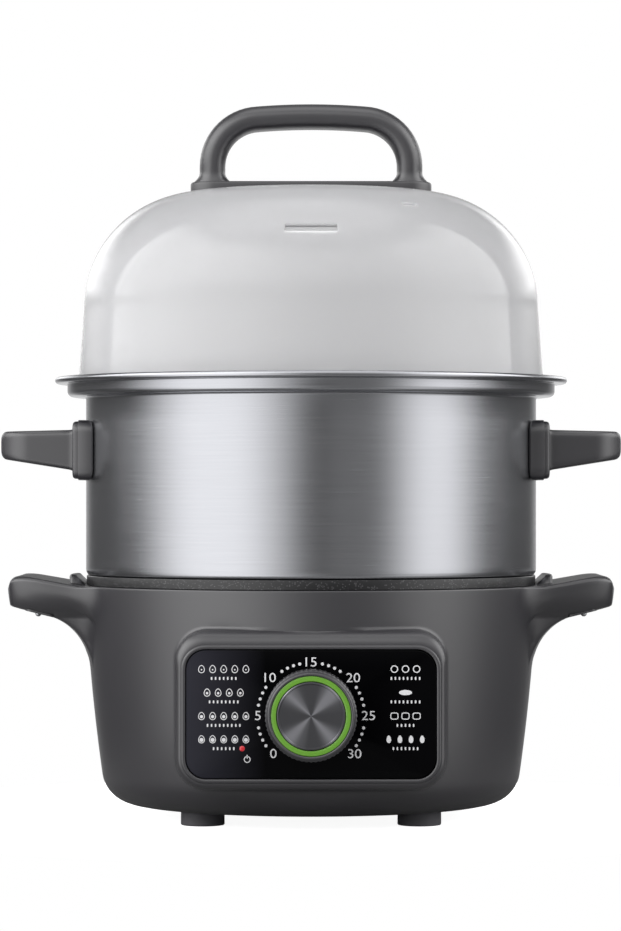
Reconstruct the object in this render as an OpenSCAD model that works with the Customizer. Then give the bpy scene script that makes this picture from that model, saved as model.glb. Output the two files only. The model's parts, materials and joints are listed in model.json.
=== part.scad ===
// Electric egg cooker: a round base with a fixed non-stick pan and a wind-up timer, a steel steamer
// pot that stands on the pan, an egg rack inside it and a dome lid on top.
// Millimetres. +Z is up, the feet stand on z = 0, the pot axis is x = y = 0 and the dial faces -Y.

/* [Base] */
// Outer radius of the base at its top edge
base_top_r = 95.2; // [93:0.1:99]
// Outer radius where the side wall meets the rounded bottom corner
base_bottom_r = 87.9; // [85:0.1:91]
// Height of the base above its feet
base_h = 91.4; // [88:0.1:98]
// How far the side wall swells out of a straight line at mid height
base_bulge = 1; // [0:0.1:2]
// Radius of the bottom corner
base_corner_r = 14; // [11:0.5:16]
// Thickness of the moulded wall
base_wall = 2.6; // [2:0.1:3.2]
// Width of the flat rim round the bottom opening
bottom_rim_w = 2; // [1:0.1:4]

/* [Feet] */
// Height of a foot
foot_h = 5.9; // [4:0.1:10]
// Radius of a foot at the top
foot_r = 9.2; // [7.5:0.1:9.6]
// Radius of a foot at the floor
foot_tip_r = 8.9; // [6:0.1:9]
// Distance of a foot's centre inside the edge of the bottom opening
foot_in = 9.25; // [9:0.05:14]
// Radius of the stem that holds a foot in the bottom cover
foot_stem_r = 3; // [2:0.1:4]

/* [Bottom cover] */
// Thickness of the bottom cover
cover_t = 2.5; // [2:0.1:3.5]
// Width of the ledge that the cover is screwed to
cover_ledge_w = 10; // [8:0.5:14]
// Thickness of that ledge
cover_ledge_t = 3; // [2:0.1:4]
// Distance of the cover screws inside the edge of the bottom opening
cover_screw_in = 5.5; // [5:0.1:7]
// Number of vent slots in the cover
vent_count = 12; // [6:1:14]
// Radius of the ring of vent slots, at their middle
vent_ring_r = 22.2; // [22:0.1:26]
// Width of a vent slot
vent_w = 3; // [2:0.1:3.8]
// Length of a vent slot
vent_l = 20; // [10:1:26]

/* [Side handles] */
// Length of a side handle beyond the top edge of the base
ear_reach = 32.5; // [28:0.1:38]
// Rise of the handle's top above the base
ear_rise = 4.7; // [3:0.1:6]
// Height of the handle's tip
ear_tip_h = 12.9; // [12:0.1:16]
// Slope of the handle's underside, in degrees
ear_slope = 14; // [10:0.5:18]
// Radius of the fillet between the underside and the wall
ear_fillet = 24; // [18:0.5:26]
// Radius of the handle's upper tip edge
ear_tip_r = 7.5; // [4:0.1:8]
// Width of the handle at the wall
ear_root_w = 76; // [66:1:90]
// Width of the handle at its tip
ear_tip_w = 62; // [50:1:66]
// Radius of the tip's corners, seen from above
ear_plan_r = 18; // [10:0.5:24]
// Length of the cover plate under a handle
ear_cover_l = 12; // [10:0.5:12.5]
// Width of the cover plate under a handle
ear_cover_w = 46; // [40:1:50]
// Thickness of the cover plate under a handle
ear_cover_t = 2.4; // [1.5:0.1:3]
// Radius of the screw head under a handle
ear_screw_r = 1.3; // [1.2:0.1:2.2]
// Radial thickness of the ribs that keep the pot centred
rib_w = 6; // [3:0.1:8]
// Height of these ribs above the base
rib_h = 4.6; // [4:0.1:7]
// Length of a rib along the rim
rib_l = 36; // [20:1:50]

/* [Control panel] */
// Width of the pod that carries the panel
pod_w = 106.6; // [104:0.1:112]
// Height of the pod
pod_h = 64; // [60:0.1:66]
// Height of the pod's centre above the knob's axis
pod_rise = 2; // [0:0.1:4]
// How far the pod's face stands out of the wall at the pod's top edge
pod_out = 2.55; // [1:0.05:5]
// Radius of the pod's corners
pod_corner_r = 14; // [10:0.5:18]
// Width of the glossy panel
panel_w = 99.6; // [96:0.1:101]
// Height of the glossy panel
panel_h = 51.4; // [49:0.1:55]
// Thickness of the glossy panel
panel_t = 2.2; // [1.5:0.1:3]
// Radius of the panel's corners
panel_corner_r = 8; // [5:0.5:12]
// Width of the seat behind the panel's edge
panel_seat_w = 3; // [2:0.1:4]
// Thickness of that seat
panel_seat_t = 2; // [1.5:0.1:3]
// Depth of the knob's axis, and of the panel's centre, below the top edge of the base
dial_down = 48.8; // [47:0.1:51]
// Radius of the power light's lens
light_r = 1.6; // [1:0.1:2.5]
// Distance of the power light to the left of the knob
light_x = 27.3; // [25:0.1:36]
// Distance of the power light below the knob
light_drop = 13.6; // [8:0.1:18]

/* [Knob] */
// Outer radius of the knob
knob_r = 18.2; // [16:0.1:20]
// Length of the knob
knob_l = 13.2; // [10:0.1:16]
// Gap between the knob and the panel
knob_gap = 0.8; // [0.5:0.1:1.5]
// Width of the bevel round the knob's front
knob_bevel = 1.5; // [0.5:0.1:2]
// Number of grip grooves round the knob
groove_count = 60; // [30:2:80]
// Depth of a grip groove
groove_d = 0.45; // [0.2:0.05:0.8]
// Outer radius of the coloured ring
ring_r = 15.85; // [14.5:0.05:16]
// Width of the coloured ring
ring_w = 2.2; // [1:0.1:3]
// Depth of the ring's seat in the knob
ring_depth = 3; // [2:0.1:4]
// How far the ring lies behind the knob's front
ring_inset = 0.3; // [0:0.1:1]
// Wall between the knob's skirt and its hollow
knob_wall = 2.4; // [1.5:0.1:3]
// Radius of the knob's hub
hub_r = 6; // [5:0.1:8]
// Radius of the timer shaft
shaft_r = 3; // [2.5:0.1:3.5]

/* [Timer] */
// Width of a timer plate left of the shaft
timer_left = 22; // [20:0.5:26]
// Width of a timer plate right of the shaft
timer_right = 28; // [27:0.5:32]
// Height of a timer plate
timer_h = 33; // [32:0.5:34]
// Thickness of a timer plate
timer_plate_t = 1.2; // [0.8:0.1:1.6]
// Distance between the two timer plates
timer_depth = 18.8; // [18:0.1:20]
// Length of the posts between the panel and the timer
timer_post_l = 2.4; // [2.2:0.1:4]
// Radius of a timer pillar
pillar_r = 1.8; // [1.2:0.1:2.2]
// Radius of the timer's bush in the panel
bush_r = 5.2; // [4.6:0.1:6]
// Tooth module of the timer's gears
gear_module = 0.8; // [0.7:0.05:0.85]
// Teeth of the main wheel
wheel_teeth = 36; // [30:6:36]
// Teeth of the escape pinion
pinion_teeth = 10; // [8:2:10]
// Thickness of the main wheel
wheel_t = 2; // [1.5:0.1:2.4]
// Radius of the spring drum
drum_r = 10; // [8:0.1:10.2]
// Length of the spring drum
drum_l = 5.5; // [4:0.1:6]
// Radius of the switch cam
cam_r = 9; // [7:0.1:10]
// Thickness of the switch cam
cam_t = 2; // [1.5:0.1:3]
// Gap between the escape wheel and the spring drum
escape_gap = 1; // [0.6:0.1:2]
// Radius of the escape arbor
arbor_r = 1.2; // [1:0.1:1.4]
// Radius of the timer bell
bell_r = 10; // [8:0.5:11]
// Depth of the timer bell
bell_d = 6; // [5:0.5:7]

/* [Pan] */
// How far the pan's rim lies inside the edge of the base
pan_rim_in = 0.7; // [0.2:0.1:1.5]
// Height of the pan's rim above the base
pan_rim_h = 3.6; // [2.5:0.1:5]
// Width of the pan's rim, from its edge to the pan's wall
pan_rim_w = 8; // [6:0.1:10]
// Depth of the pan
pan_depth = 30; // [26:0.5:31]
// Thickness of the pan
pan_t = 2; // [1.5:0.1:2.4]
// Radius of the pan's inside corner
pan_corner_r = 8; // [5:0.5:12]
// Radius of a stud under the pan
stud_r = 2; // [1.5:0.1:2.5]
// Distance of the studs inside the pan's wall
stud_in = 16.5; // [14:0.5:20]

/* [Heater] */
// Radius of the heating ring, at the middle of its tube
heater_ring_r = 52; // [45:0.5:55]
// Radius of the heating tube
heater_tube_r = 3.5; // [3:0.1:4]
// Opening angle of the heating ring, in degrees
heater_gap = 50; // [40:5:70]
// Thickness of the heat shield
shield_t = 1; // [0.8:0.1:1.5]
// Radius of the thermostat
thermostat_r = 8; // [7:0.1:10]
// Radius of the thermal fuse
fuse_r = 2; // [1.5:0.1:2.4]
// Length of the thermal fuse
fuse_l = 14; // [10:1:20]
// Width of the terminal block
block_w = 34; // [30:1:44]
// Depth of the terminal block
block_d = 16; // [12:1:20]
// Height of the terminal block
block_h = 14; // [10:1:18]

/* [Cord gland] */
// Radius of the gland's cord bore
gland_bore_r = 3.5; // [3:0.1:4]
// Radius of the gland's wider passage behind its flange
gland_inner_r = 4.4; // [4:0.1:4.8]
// Radius of the gland's body
gland_r = 5.9; // [5.5:0.1:7]
// Radius of the gland's outer flange
gland_flange_r = 8.5; // [7.5:0.1:9.5]
// Thickness of that flange
gland_flange_t = 3; // [2:0.1:4]
// Thickness of the gland's nut
gland_nut_t = 3.5; // [3:0.1:5]
// Height of the gland above the underside of the base
gland_up = 18.1; // [16:0.1:24]

/* [Steamer pot] */
// How far the pot's wall stands out over the pan's rim
pot_over = 0.3; // [0:0.1:1]
// Height of the pot from the pan's rim to its own rim
pot_h = 83.6; // [70:0.1:100]
// Thickness of the sheet
pot_t = 1; // [0.8:0.1:1.5]
// Radius of the pot's bottom edge
pot_corner_r = 2; // [1.5:0.1:4]
// Width of the step that the lid stands on
step_w = 7.8; // [6.5:0.1:9]
// Height of the pot above that step
step_h = 8.2; // [7:0.1:10]
// Width of the rolled rim
rim_w = 5.2; // [4:0.1:7]
// Height of the rolled rim
rim_h = 2.7; // [2.5:0.1:4.5]
// How deep the pot's floor drops into the pan
nest_d = 3; // [2:0.1:5]
// Radius of a steam hole
steam_hole_r = 2; // [1.5:0.1:2]

/* [Steamer handles] */
// Width of a handle's mounting block along the rim
block_l = 60; // [44:0.1:64]
// Height of the mounting block
block_z = 25; // [22:0.1:30]
// How far the block stands out of the pot
block_out = 4.2; // [4:0.1:8]
// Radius of the block's corners
block_r = 5; // [3:0.1:8]
// Height of the block's centre above the pan's rim
grip_up = 52.9; // [40:0.1:58]
// How far the grip reaches beyond the pot
grip_reach = 35.4; // [30:0.1:40]
// Height of the grip at the block
grip_root_h = 17.1; // [14:0.1:18]
// Height of the grip at its tip
grip_tip_h = 11.3; // [8:0.1:13]
// Rise of the grip's centre line from block to tip
grip_rise = 2.2; // [0:0.1:3]
// Width of the grip at the block
grip_root_w = 44; // [36:0.5:48]
// Width of the grip at its tip
grip_tip_w = 38; // [32:0.5:44]
// Distance between a handle's two screws
handle_screw_pitch = 11; // [9:0.5:12]
// Radius of the steamer and lid handle screws
screw_r = 1.95; // [1.5:0.05:2.2]

/* [Egg rack] */
// Gap between the egg rack and the pot's wall
rack_gap = 5.8; // [3:0.1:10]
// Thickness of the egg rack
rack_t = 2.4; // [2:0.1:3]
// Height of the egg rack above the pot's floor
rack_h = 22; // [18:0.5:30]
// Number of eggs
egg_count = 7; // [5:1:7]
// Radius of an egg hole
egg_hole_r = 17.5; // [15:0.1:18]
// Width of the rack outside an egg hole
egg_edge_w = 11.5; // [9:0.1:14]
// Radius of the finger hole
finger_hole_r = 13; // [11:0.1:15]
// Radius of a rack leg
leg_r = 4; // [3:0.1:5]
// Gap between a rack leg and the ring of egg holes
leg_in = 7.5; // [6:0.1:9]

/* [Lid] */
// Thickness of the dome
lid_t = 2; // [1.5:0.1:2.5]
// Width of the flange that the dome stands on in the pot
lid_flange_w = 2.8; // [2:0.1:4]
// How far the dome's wall leans in from the flange to the shoulder
lid_draft = 2.45; // [1:0.05:4]
// Height of the shoulder's start above the pot's rim
lid_wall_h = 29.3; // [22:0.1:36]
// Radius of the shoulder
lid_corner_r = 48.4; // [42:0.1:52]
// Radius of the crown's curve
lid_crown_r = 600; // [400:10:1000]
// Width of the vent slot in the dome
slot_w = 21; // [14:0.5:26]
// Height of the vent slot
slot_h = 3; // [2:0.1:3.8]
// Height of the vent slot above the shoulder's start
slot_z = 28.3; // [20:0.1:34]

/* [Lid handle] */
// Half length of the arch, outside
arch_x = 47; // [42:0.1:52]
// Height of the arch above the crown
arch_h = 35.7; // [31:0.1:42]
// Width of the arch's legs
arch_leg_w = 10.6; // [9:0.1:12]
// Thickness of the arch's bar
arch_bar_h = 9.6; // [8:0.1:12]
// Outer radius of the arch's corners
arch_corner_r = 24; // [18:0.5:28]
// Depth of the arch from front to back
arch_d = 19; // [15:0.5:24]
// Crown of the arch's bar
arch_crown = 1.6; // [0:0.1:3]
// Half length of the strip under the arch
strip_x = 51.3; // [48:0.1:56]
// Height of the strip above the crown
strip_h = 2.9; // [2:0.1:4]
// Depth of the strip from front to back
strip_d = 22; // [20:0.5:28]

/* [Clearances] */
// Gap between pieces that drop into each other and stay
fit_gap = 0.2; // [0.1:0.05:0.3]
// Gap between a shaft and its bearing
run_gap = 0.08; // [0.05:0.01:0.1]
// Gap round pieces that lift out
lift_gap = 0.6; // [0.4:0.1:1]

/* [Hidden] */
$fn = 96;

// Room for a cut to run past a face
past = 1;

// Heights of the stack, from the floor up
base_top = foot_h + base_h;
pan_top = base_top + pan_rim_h;
pan_floor = pan_top - pan_depth;
pan_under = pan_floor - pan_t;
pot_top = pan_top + pot_h;
step_top = pot_top - step_h + pot_t;
pot_floor = pan_top - nest_d + pot_t;
shoulder_z = pot_top + lid_wall_h;
dial_z = base_top - dial_down;
pod_z = dial_z + pod_rise;
gland_z = foot_h + gland_up;
grip_z = pan_top + grip_up;

// Outer wall of the base: a straight flare with a swell, on a round corner
corner_end = atan((base_top_r - base_bottom_r + 4 * base_bulge) / (base_h - base_corner_r));
corner_cz = foot_h + base_corner_r;
corner_cr = base_bottom_r - base_corner_r * cos(corner_end);
wall_z0 = corner_cz - base_corner_r * sin(corner_end);
function wall_t(z) = (z - wall_z0) / (base_top - wall_z0);
function wall_r(z) =
  base_bottom_r + (base_top_r - base_bottom_r) * wall_t(z) + 4 * base_bulge * wall_t(z) * (1 - wall_t(z));
function wall_points(z0, z1, inset, n = 12) =
  [for (i = [0:n]) let (z = z0 + (z1 - z0) * i / n) [wall_r(z) - inset, z]];
function arc(x, y, r, a0, a1, n = 8) =
  [for (i = [0:n]) let (a = a0 + (a1 - a0) * i / n) [x + r * cos(a), y + r * sin(a)]];
function rounded_rect(w, h, r) = concat(
  arc(w / 2 - r, h / 2 - r, r, 0, 90),
  arc(r - w / 2, h / 2 - r, r, 90, 180),
  arc(r - w / 2, r - h / 2, r, 180, 270),
  arc(w / 2 - r, r - h / 2, r, 270, 360));

// Bottom opening, cover and ledge
bottom_open_r = corner_cr - bottom_rim_w;
foot_pitch = sqrt(2) * (bottom_open_r - foot_in);
cover_screw_ring_r = bottom_open_r - cover_screw_in;
cover_top = foot_h + cover_t;
cover_ledge_r = bottom_open_r - cover_ledge_w;
cover_ledge_top = cover_top + cover_ledge_t;
cover_screw_r = 1.5;
cover_head_r = 3;
cover_head_h = 1.4;
cover_boss_r = 3.6;
cover_boss_h = 6;
cover_screw_end = 1;
cover_screw_l = cover_t + cover_ledge_t + cover_boss_h - 2 * cover_screw_end;
cover_screw_count = 4;

// Heat shield, hung on the pan's studs and pressed against a ledge in the base
heater_air = 1;
shield_top = pan_under - 2 * heater_tube_r - heater_air;
shield_under = shield_top - shield_t;
shield_ledge_w = 12;
shield_ledge_t = 2.2;
shield_ledge_r = wall_r(shield_top) - base_wall - shield_ledge_w;
nut_r = 4;
nut_h = 3.2;
stud_end = 1;
stud_angles = [90, 210, 330];

// Side handle: side view, plan view and the place of its cover
ear_tip_x = base_top_r + ear_reach;
ear_top = base_top + ear_rise;
ear_chin = [1.6, 1.8];
ear_peak_in = 8.6;
ear_root_in = 30;
ear_low = [ear_tip_x - ear_chin[0], ear_top - ear_tip_h];
ear_wall_z = base_top - base_h / 3;
ear_cx = wall_r(ear_wall_z) + ear_fillet;
ear_line_x = ear_cx - ear_fillet * sin(ear_slope);
ear_cz = ear_low[1] - (ear_low[0] - ear_line_x) * tan(ear_slope) - ear_fillet * cos(ear_slope);
ear_side = concat(
  [[base_top_r - ear_root_in, ear_cz]],
  arc(ear_cx, ear_cz, ear_fillet, 180, 90 + ear_slope),
  [ear_low, [ear_tip_x, ear_low[1] + ear_chin[1]]],
  arc(ear_tip_x - ear_tip_r, ear_top - ear_tip_r, ear_tip_r, 0, 90),
  [[base_top_r - ear_root_in, ear_top]]);
ear_brow = [
  [0, foot_h], [ear_tip_x, foot_h], [ear_tip_x, ear_top], [ear_tip_x - ear_peak_in, ear_top],
  [base_top_r, base_top], [0, base_top]
];
ear_plan = concat(
  [[base_top_r - ear_root_in, ear_root_w / 2], [base_top_r - ear_root_in, -ear_root_w / 2]],
  arc(ear_tip_x - ear_plan_r, ear_plan_r - ear_tip_w / 2, ear_plan_r, -90, 0),
  arc(ear_tip_x - ear_plan_r, ear_tip_w / 2 - ear_plan_r, ear_plan_r, 0, 90));
ear_cover_in = 5.5;
ear_pocket_in = 2;
ear_pocket_h = 5;
ear_boss_r = 3;
ear_screw_head = 1.4;
ear_screw_shank = 0.9;
ear_screw_l = 5;
ear_screw_u = -ear_cover_in - ear_cover_l / 2;
// Outline of a band along the underside of a handle: u runs outwards, w goes into the handle
function ear_band(u0, u1, w0, w1) = [
  for (p = [[u0, w0], [u1, w0], [u1, w1], [u0, w1]])
    ear_low + [p[0] * cos(ear_slope) - p[1] * sin(ear_slope), p[0] * sin(ear_slope) + p[1] * cos(ear_slope)]
];
pan_rim_r = base_top_r - pan_rim_in;
pot_r = pan_rim_r + pot_over;
rib_in_r = pot_r + lift_gap;
rib_top_w = 2;
rib_ramp_h = 1.2;
rib_root = 1;

// Front pod, panel and knob, from front to back
pod_face = wall_r(pod_z + pod_h / 2) + pod_out;
pod_back = 55;
panel_back = pod_face - panel_t;
seat_back = panel_back - panel_seat_t;
light_z = dial_z - light_drop;
knob_back = pod_face + knob_gap;
knob_front = knob_back + knob_l;
knob_step = 0.2;
ring_seat = knob_front - ring_depth;
cap_r = ring_r - ring_w - fit_gap;
cap_dish_d = 0.35;
cap_lip = 0.8;
hub_floor_t = 1.6;
shaft_front = ring_seat - hub_floor_t;

// Timer, from front to back
plate_front = panel_back - timer_post_l;
plate_front_back = plate_front - timer_plate_t;
plate_rear = plate_front_back - timer_depth;
plate_rear_back = plate_rear - timer_plate_t;
timer_post_r = 2.4;
timer_post_x = 14;
pillar_in = 3.5;
wheel_r = gear_module * wheel_teeth / 2;
pinion_r = gear_module * pinion_teeth / 2;
arbor_x = wheel_r + pinion_r;
tooth_tip = 0.9;
tooth_root = 1.2;
wheel_tooth_share = 0.9;
pinion_tooth_share = 0.75;
timer_air = 1.5;
wheel_front = plate_front_back - 2 * timer_air;
pinion_over = 1;
pinion_l = wheel_t + pinion_over;
drum_front = wheel_front - wheel_t - timer_air;
escape_r = arbor_x - drum_r - escape_gap;
escape_front = drum_front - timer_air;
escape_t = 1;
escape_teeth = 15;
escape_tooth_d = 1.4;
cam_front = drum_front - drum_l - timer_air;
cam_notch = 2;
shaft_end = 1;
shaft_back = plate_rear_back - shaft_end;
arbor_end = 0.3;
contact_t = 0.5;
contact_w = 4;
contact_l = 14;
contact_gap = 0.5;
contact_block_w = 8;
contact_block_h = 7;
contact_x = -contact_l / 2 - contact_block_w;
contact_z = dial_z - cam_r - contact_gap - contact_block_h;
bell_t = 1;
bell_post_r = 2;
bell_edge = 1;
bell_x = timer_right - bell_edge - bell_r;
bell_clear = 5;
shield_front = plate_rear_back - bell_d - bell_clear;

// Gland in a flat boss on the rear wall
gland_boss_w = 1.5;
gland_boss_out = 0.6;
gland_boss_in = 4;
gland_end = 1.5;
gland_step_in = 0.3;
gland_boss_r = gland_flange_r + gland_boss_w;
gland_face = wall_r(gland_z + gland_boss_r) + gland_boss_out;
gland_inside = wall_r(gland_z) - base_wall - gland_boss_in;
gland_back = gland_inside - gland_nut_t - gland_end;
gland_nut_r = gland_flange_r;

// Pan, and the pot's floor, step and rim
pan_out_r = pan_rim_r - pan_rim_w;
pan_in_r = pan_out_r - pan_t;
stud_ring_r = pan_out_r - stud_in;
pan_rim_round = 1.4;
nest_r = pan_in_r - lift_gap - pot_t / 2;
step_z = pot_top - step_h;
step_r = pot_r + step_w;
rim_r = step_r + rim_w;
rim_round_share = 0.45;
rim_round = rim_round_share * rim_h;
steam_ring_first = 14;
steam_ring_count = 5;
steam_edge_w = 9.4;
steam_ring_step = (nest_r - steam_edge_w - steam_ring_first) / (steam_ring_count - 1);
steam_ring_turn = 12;
steam_holes_per_ring = 7;
handle_screw_head_r = 3.6;
handle_screw_head_h = 1.6;
handle_screw_end = 0.9;
handle_screw_l = block_out - handle_screw_end;

// Steamer handle
block_x0 = sqrt(pow(pot_r, 2) - pow(block_l / 2, 2)) - pot_t;
grip_x0 = pot_r + block_out;
grip_x1 = pot_r + grip_reach;
grip_tip_r = 3;
grip_plan_r = 12;
grip_overlap = 1;
grip_side = concat(
  [[grip_x0 - grip_overlap, grip_root_h / 2], [grip_x0 - grip_overlap, -grip_root_h / 2]],
  arc(grip_x1 - grip_tip_r, grip_rise - grip_tip_h / 2 + grip_tip_r, grip_tip_r, -90, 0),
  arc(grip_x1 - grip_tip_r, grip_rise + grip_tip_h / 2 - grip_tip_r, grip_tip_r, 0, 90));
grip_plan = concat(
  [[grip_x0 - grip_overlap, grip_root_w / 2], [grip_x0 - grip_overlap, -grip_root_w / 2]],
  arc(grip_x1 - grip_plan_r, grip_plan_r - grip_tip_w / 2, grip_plan_r, -90, 0),
  arc(grip_x1 - grip_plan_r, grip_tip_w / 2 - grip_plan_r, grip_plan_r, 0, 90));

// Rack
rack_top = pot_floor + rack_h;
rack_r = pot_r - pot_t - rack_gap;
egg_ring_r = rack_r - egg_edge_w - egg_hole_r;
leg_ring_r = egg_ring_r - egg_hole_r - leg_r - leg_in;
leg_count = 3;
rack_bead_h = 2;
rack_bead_w = 2;

// Dome: flange, straight wall, shoulder arc and crown arc that meet in line
lid_foot_r = step_r - pot_t - lift_gap;
lid_foot_h = 2.4;
lid_base_r = lid_foot_r - lid_flange_w;
lid_shoulder_r = lid_base_r - lid_draft;
lid_shoulder_c = lid_shoulder_r - lid_corner_r;
crown_drop = sqrt(pow(lid_crown_r - lid_corner_r, 2) - pow(lid_shoulder_c, 2));
crown_c = shoulder_z - crown_drop;
lid_apex = crown_c + lid_crown_r;
crown_meet = atan2(crown_drop, lid_shoulder_c);
function dome_points(inset) = concat(
  arc(lid_shoulder_c, shoulder_z, lid_corner_r - inset, 0, crown_meet, 16),
  arc(0, crown_c, lid_crown_r - inset, crown_meet, 90, 6));
// Height of the dome at a radius, on its outside or an inset surface
function dome_z(r, inset) =
  r < (lid_crown_r - inset) * cos(crown_meet)
  ? crown_c + sqrt(pow(lid_crown_r - inset, 2) - pow(r, 2))
  : shoulder_z + sqrt(pow(lid_corner_r - inset, 2) - pow(r - lid_shoulder_c, 2));
slot_mid = shoulder_z + slot_z;
vent_slit = [1.6, 6];
vent_slit_r = 74.3;
vent_slit_turn = -56.5;

// Lid handle
arch_top = lid_apex + arch_h;
strip_top = lid_apex + strip_h;
handle_screw_x = arch_x - arch_leg_w / 2;
crown_at_screw = dome_z(handle_screw_x, 0);
washer_r = 5.5;
washer_t = 1;
crown_at_washer = dome_z(handle_screw_x + washer_r, lid_t);
washer_gap = 0.05;
washer_top = crown_at_washer - washer_gap;
lid_screw_head_r = 4;
lid_screw_head_h = 2;
lid_screw_l = 14;
strip_end_in = 1;
arch_turn = 4;
arch_corner_z = arch_top - arch_crown - arch_corner_r;
arch_outline = concat(
  arc(arch_x - arch_corner_r, arch_corner_z, arch_corner_r, 0, 90 - arch_turn, 12),
  [[0, arch_top]],
  arc(arch_corner_r - arch_x, arch_corner_z, arch_corner_r, 90 + arch_turn, 180, 12));
arch_in_x = arch_x - arch_leg_w;
arch_in_r = arch_corner_r - arch_leg_w;
arch_gap_top = arch_top - arch_bar_h;
arch_gap = concat(
  arc(arch_in_x - arch_in_r, arch_gap_top - arch_crown - arch_in_r, arch_in_r, 0, 90 - arch_turn, 12),
  [[0, arch_gap_top]],
  arc(arch_in_r - arch_in_x, arch_gap_top - arch_crown - arch_in_r, arch_in_r, 90 + arch_turn, 180, 12));

// Wires inside the base: radius, and hand-picked routes from terminal to terminal
wire_r = 1.2;
wire_sides = 8;
wire_end = 0.3;
block_in = 10;
block_y = cover_ledge_r - block_in - block_d / 2;
block_top = cover_top + block_h;
pin_l = 12;
pin_r = 2.2;
pin_x = heater_ring_r * cos(90 - heater_gap / 2);
pin_y = heater_ring_r * sin(90 - heater_gap / 2);
pin_end = pan_under - heater_tube_r - pin_l;
tab_l = 8;
tab_w = 5;
tab_t = 1;
wire_routes = [
  [[-2, gland_back - wire_end, gland_z], [-2, gland_back - 6, gland_z], [-8, block_y + block_d / 2 + 8, 18],
   [-9, block_y + block_d / 2 + 3, 16], [-9, block_y + block_d / 2 + wire_end, 15]],
  [[2, gland_back - wire_end, gland_z], [2, gland_back - 6, gland_z], [8, block_y + block_d / 2 + 8, 18],
   [9, block_y + block_d / 2 + 3, 16], [9, block_y + block_d / 2 + wire_end, 15]],
  [[-9, block_y - block_d / 2 - wire_end, 15], [-9, block_y - block_d / 2 - 6, 15], [-26, 10, 14],
   [-30, -30, 16], [contact_x - 3, -55, contact_z],
   [contact_x, wire_end - plate_rear_back + 6, contact_z + 3],
   [contact_x, wire_end - plate_rear_back, contact_z + 3]],
  [[9, block_y - block_d / 2 - wire_end, 15], [9, block_y - block_d / 2 - 5, 16], [16, 30, 24],
   [pin_x, pin_y - 8, pin_end - tab_l - 6], [pin_x, pin_y, pin_end - tab_l - 3],
   [pin_x, pin_y, pin_end - tab_l - wire_end]]
];

// Sweep of a round wire along straight runs, with one ring of points at each place of its route
function run_dir(p, i) =
  let (a = p[max(i - 1, 0)], b = p[min(i + 1, len(p) - 1)], d = b - a) d / norm(d);
function side_dir(d) = let (c = cross(d, abs(d[2]) > 0.9 ? [1, 0, 0] : [0, 0, 1])) c / norm(c);
function wire_ring(p, i) =
  let (d = run_dir(p, i), u = side_dir(d), v = cross(d, u))
  [for (k = [0:wire_sides - 1]) let (a = 360 * k / wire_sides) p[i] + wire_r * (cos(a) * u + sin(a) * v)];
// Triangles of the wire's skin: a fan over each end and two for each side of a run
function wire_faces(n) = concat(
  [for (k = [1:wire_sides - 2]) [0, k, k + 1]],
  [for (i = [0:n - 2], k = [0:wire_sides - 1])
    let (a = i * wire_sides + k, b = i * wire_sides + (k + 1) % wire_sides)
    each [[a, a + wire_sides, b + wire_sides], [a, b + wire_sides, b]]],
  [for (k = [1:wire_sides - 2]) let (e = (n - 1) * wire_sides) [e, e + k + 1, e + k]]);
module wire(p) {
  polyhedron(points = [for (i = [0:len(p) - 1]) each wire_ring(p, i)], faces = wire_faces(len(p)));
}

// Outline of a gear with straight-sided teeth, a tooth on the x axis
function gear_points(teeth, pitch_r, share) = [
  for (i = [0:teeth - 1])
    let (a = 360 * i / teeth, half = 90 / teeth * share)
    for (p = [[-1.5, -1], [-0.5, 1], [0.5, 1], [1.5, -1]])
      let (r = pitch_r + gear_module * (p[1] > 0 ? tooth_tip : -tooth_root), b = a + p[0] * half)
      [r * cos(b), r * sin(b)]
];
// Outline of a ratchet wheel with raked teeth
function rake_points(teeth, r, depth) = [
  for (i = [0:2 * teeth - 1])
    let (a = 360 * floor(i / 2) / teeth, q = i % 2 == 0 ? r : r - depth)
    [q * cos(a), q * sin(a)]
];
// Outline of the knob's grooved skirt
function groove_points() = [
  for (i = [0:2 * groove_count - 1])
    let (a = 180 * i / groove_count, r = i % 2 == 0 ? knob_r : knob_r - groove_d)
    [r * cos(a), r * sin(a)]
];

// Extrusion of an x-z outline along y, from y0 to y1
module along_y(y0, y1) {
  translate([0, y1, 0]) rotate([90, 0, 0]) linear_extrude(y1 - y0) children();
}
// Extrusion of a y-z outline along x, from x0 to x1
module along_x(x0, x1) {
  translate([x0, 0, 0]) rotate([90, 0, 90]) linear_extrude(x1 - x0) children();
}
// Round bar along y at x, z
module y_rod(r, y0, y1, x = 0, z = 0) {
  translate([x, y1, z]) rotate([90, 0, 0]) cylinder(r = r, h = y1 - y0);
}
module tube(r_out, r_in, h) {
  difference() {
    cylinder(r = r_out, h = h);
    translate([0, 0, -past]) cylinder(r = r_in, h = h + 2 * past);
  }
}
module around(count, r, start = 0) {
  for (i = [0:count - 1]) rotate(start + 360 * i / count) translate([r, 0, 0]) children();
}

plastic = "#4a494d";
dark_plastic = "#3c3b3f";
steel = "#b9babd";
bright_metal = "#9a9a9c";
brass = "#b59a52";
copper_red = "#8d2f2b";

// Frame of a side handle's cover: x along the underside, z into the handle
module at_ear_cover() {
  translate([ear_low[0], 0, ear_low[1]]) rotate([0, -ear_slope, 0]) children();
}
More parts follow.
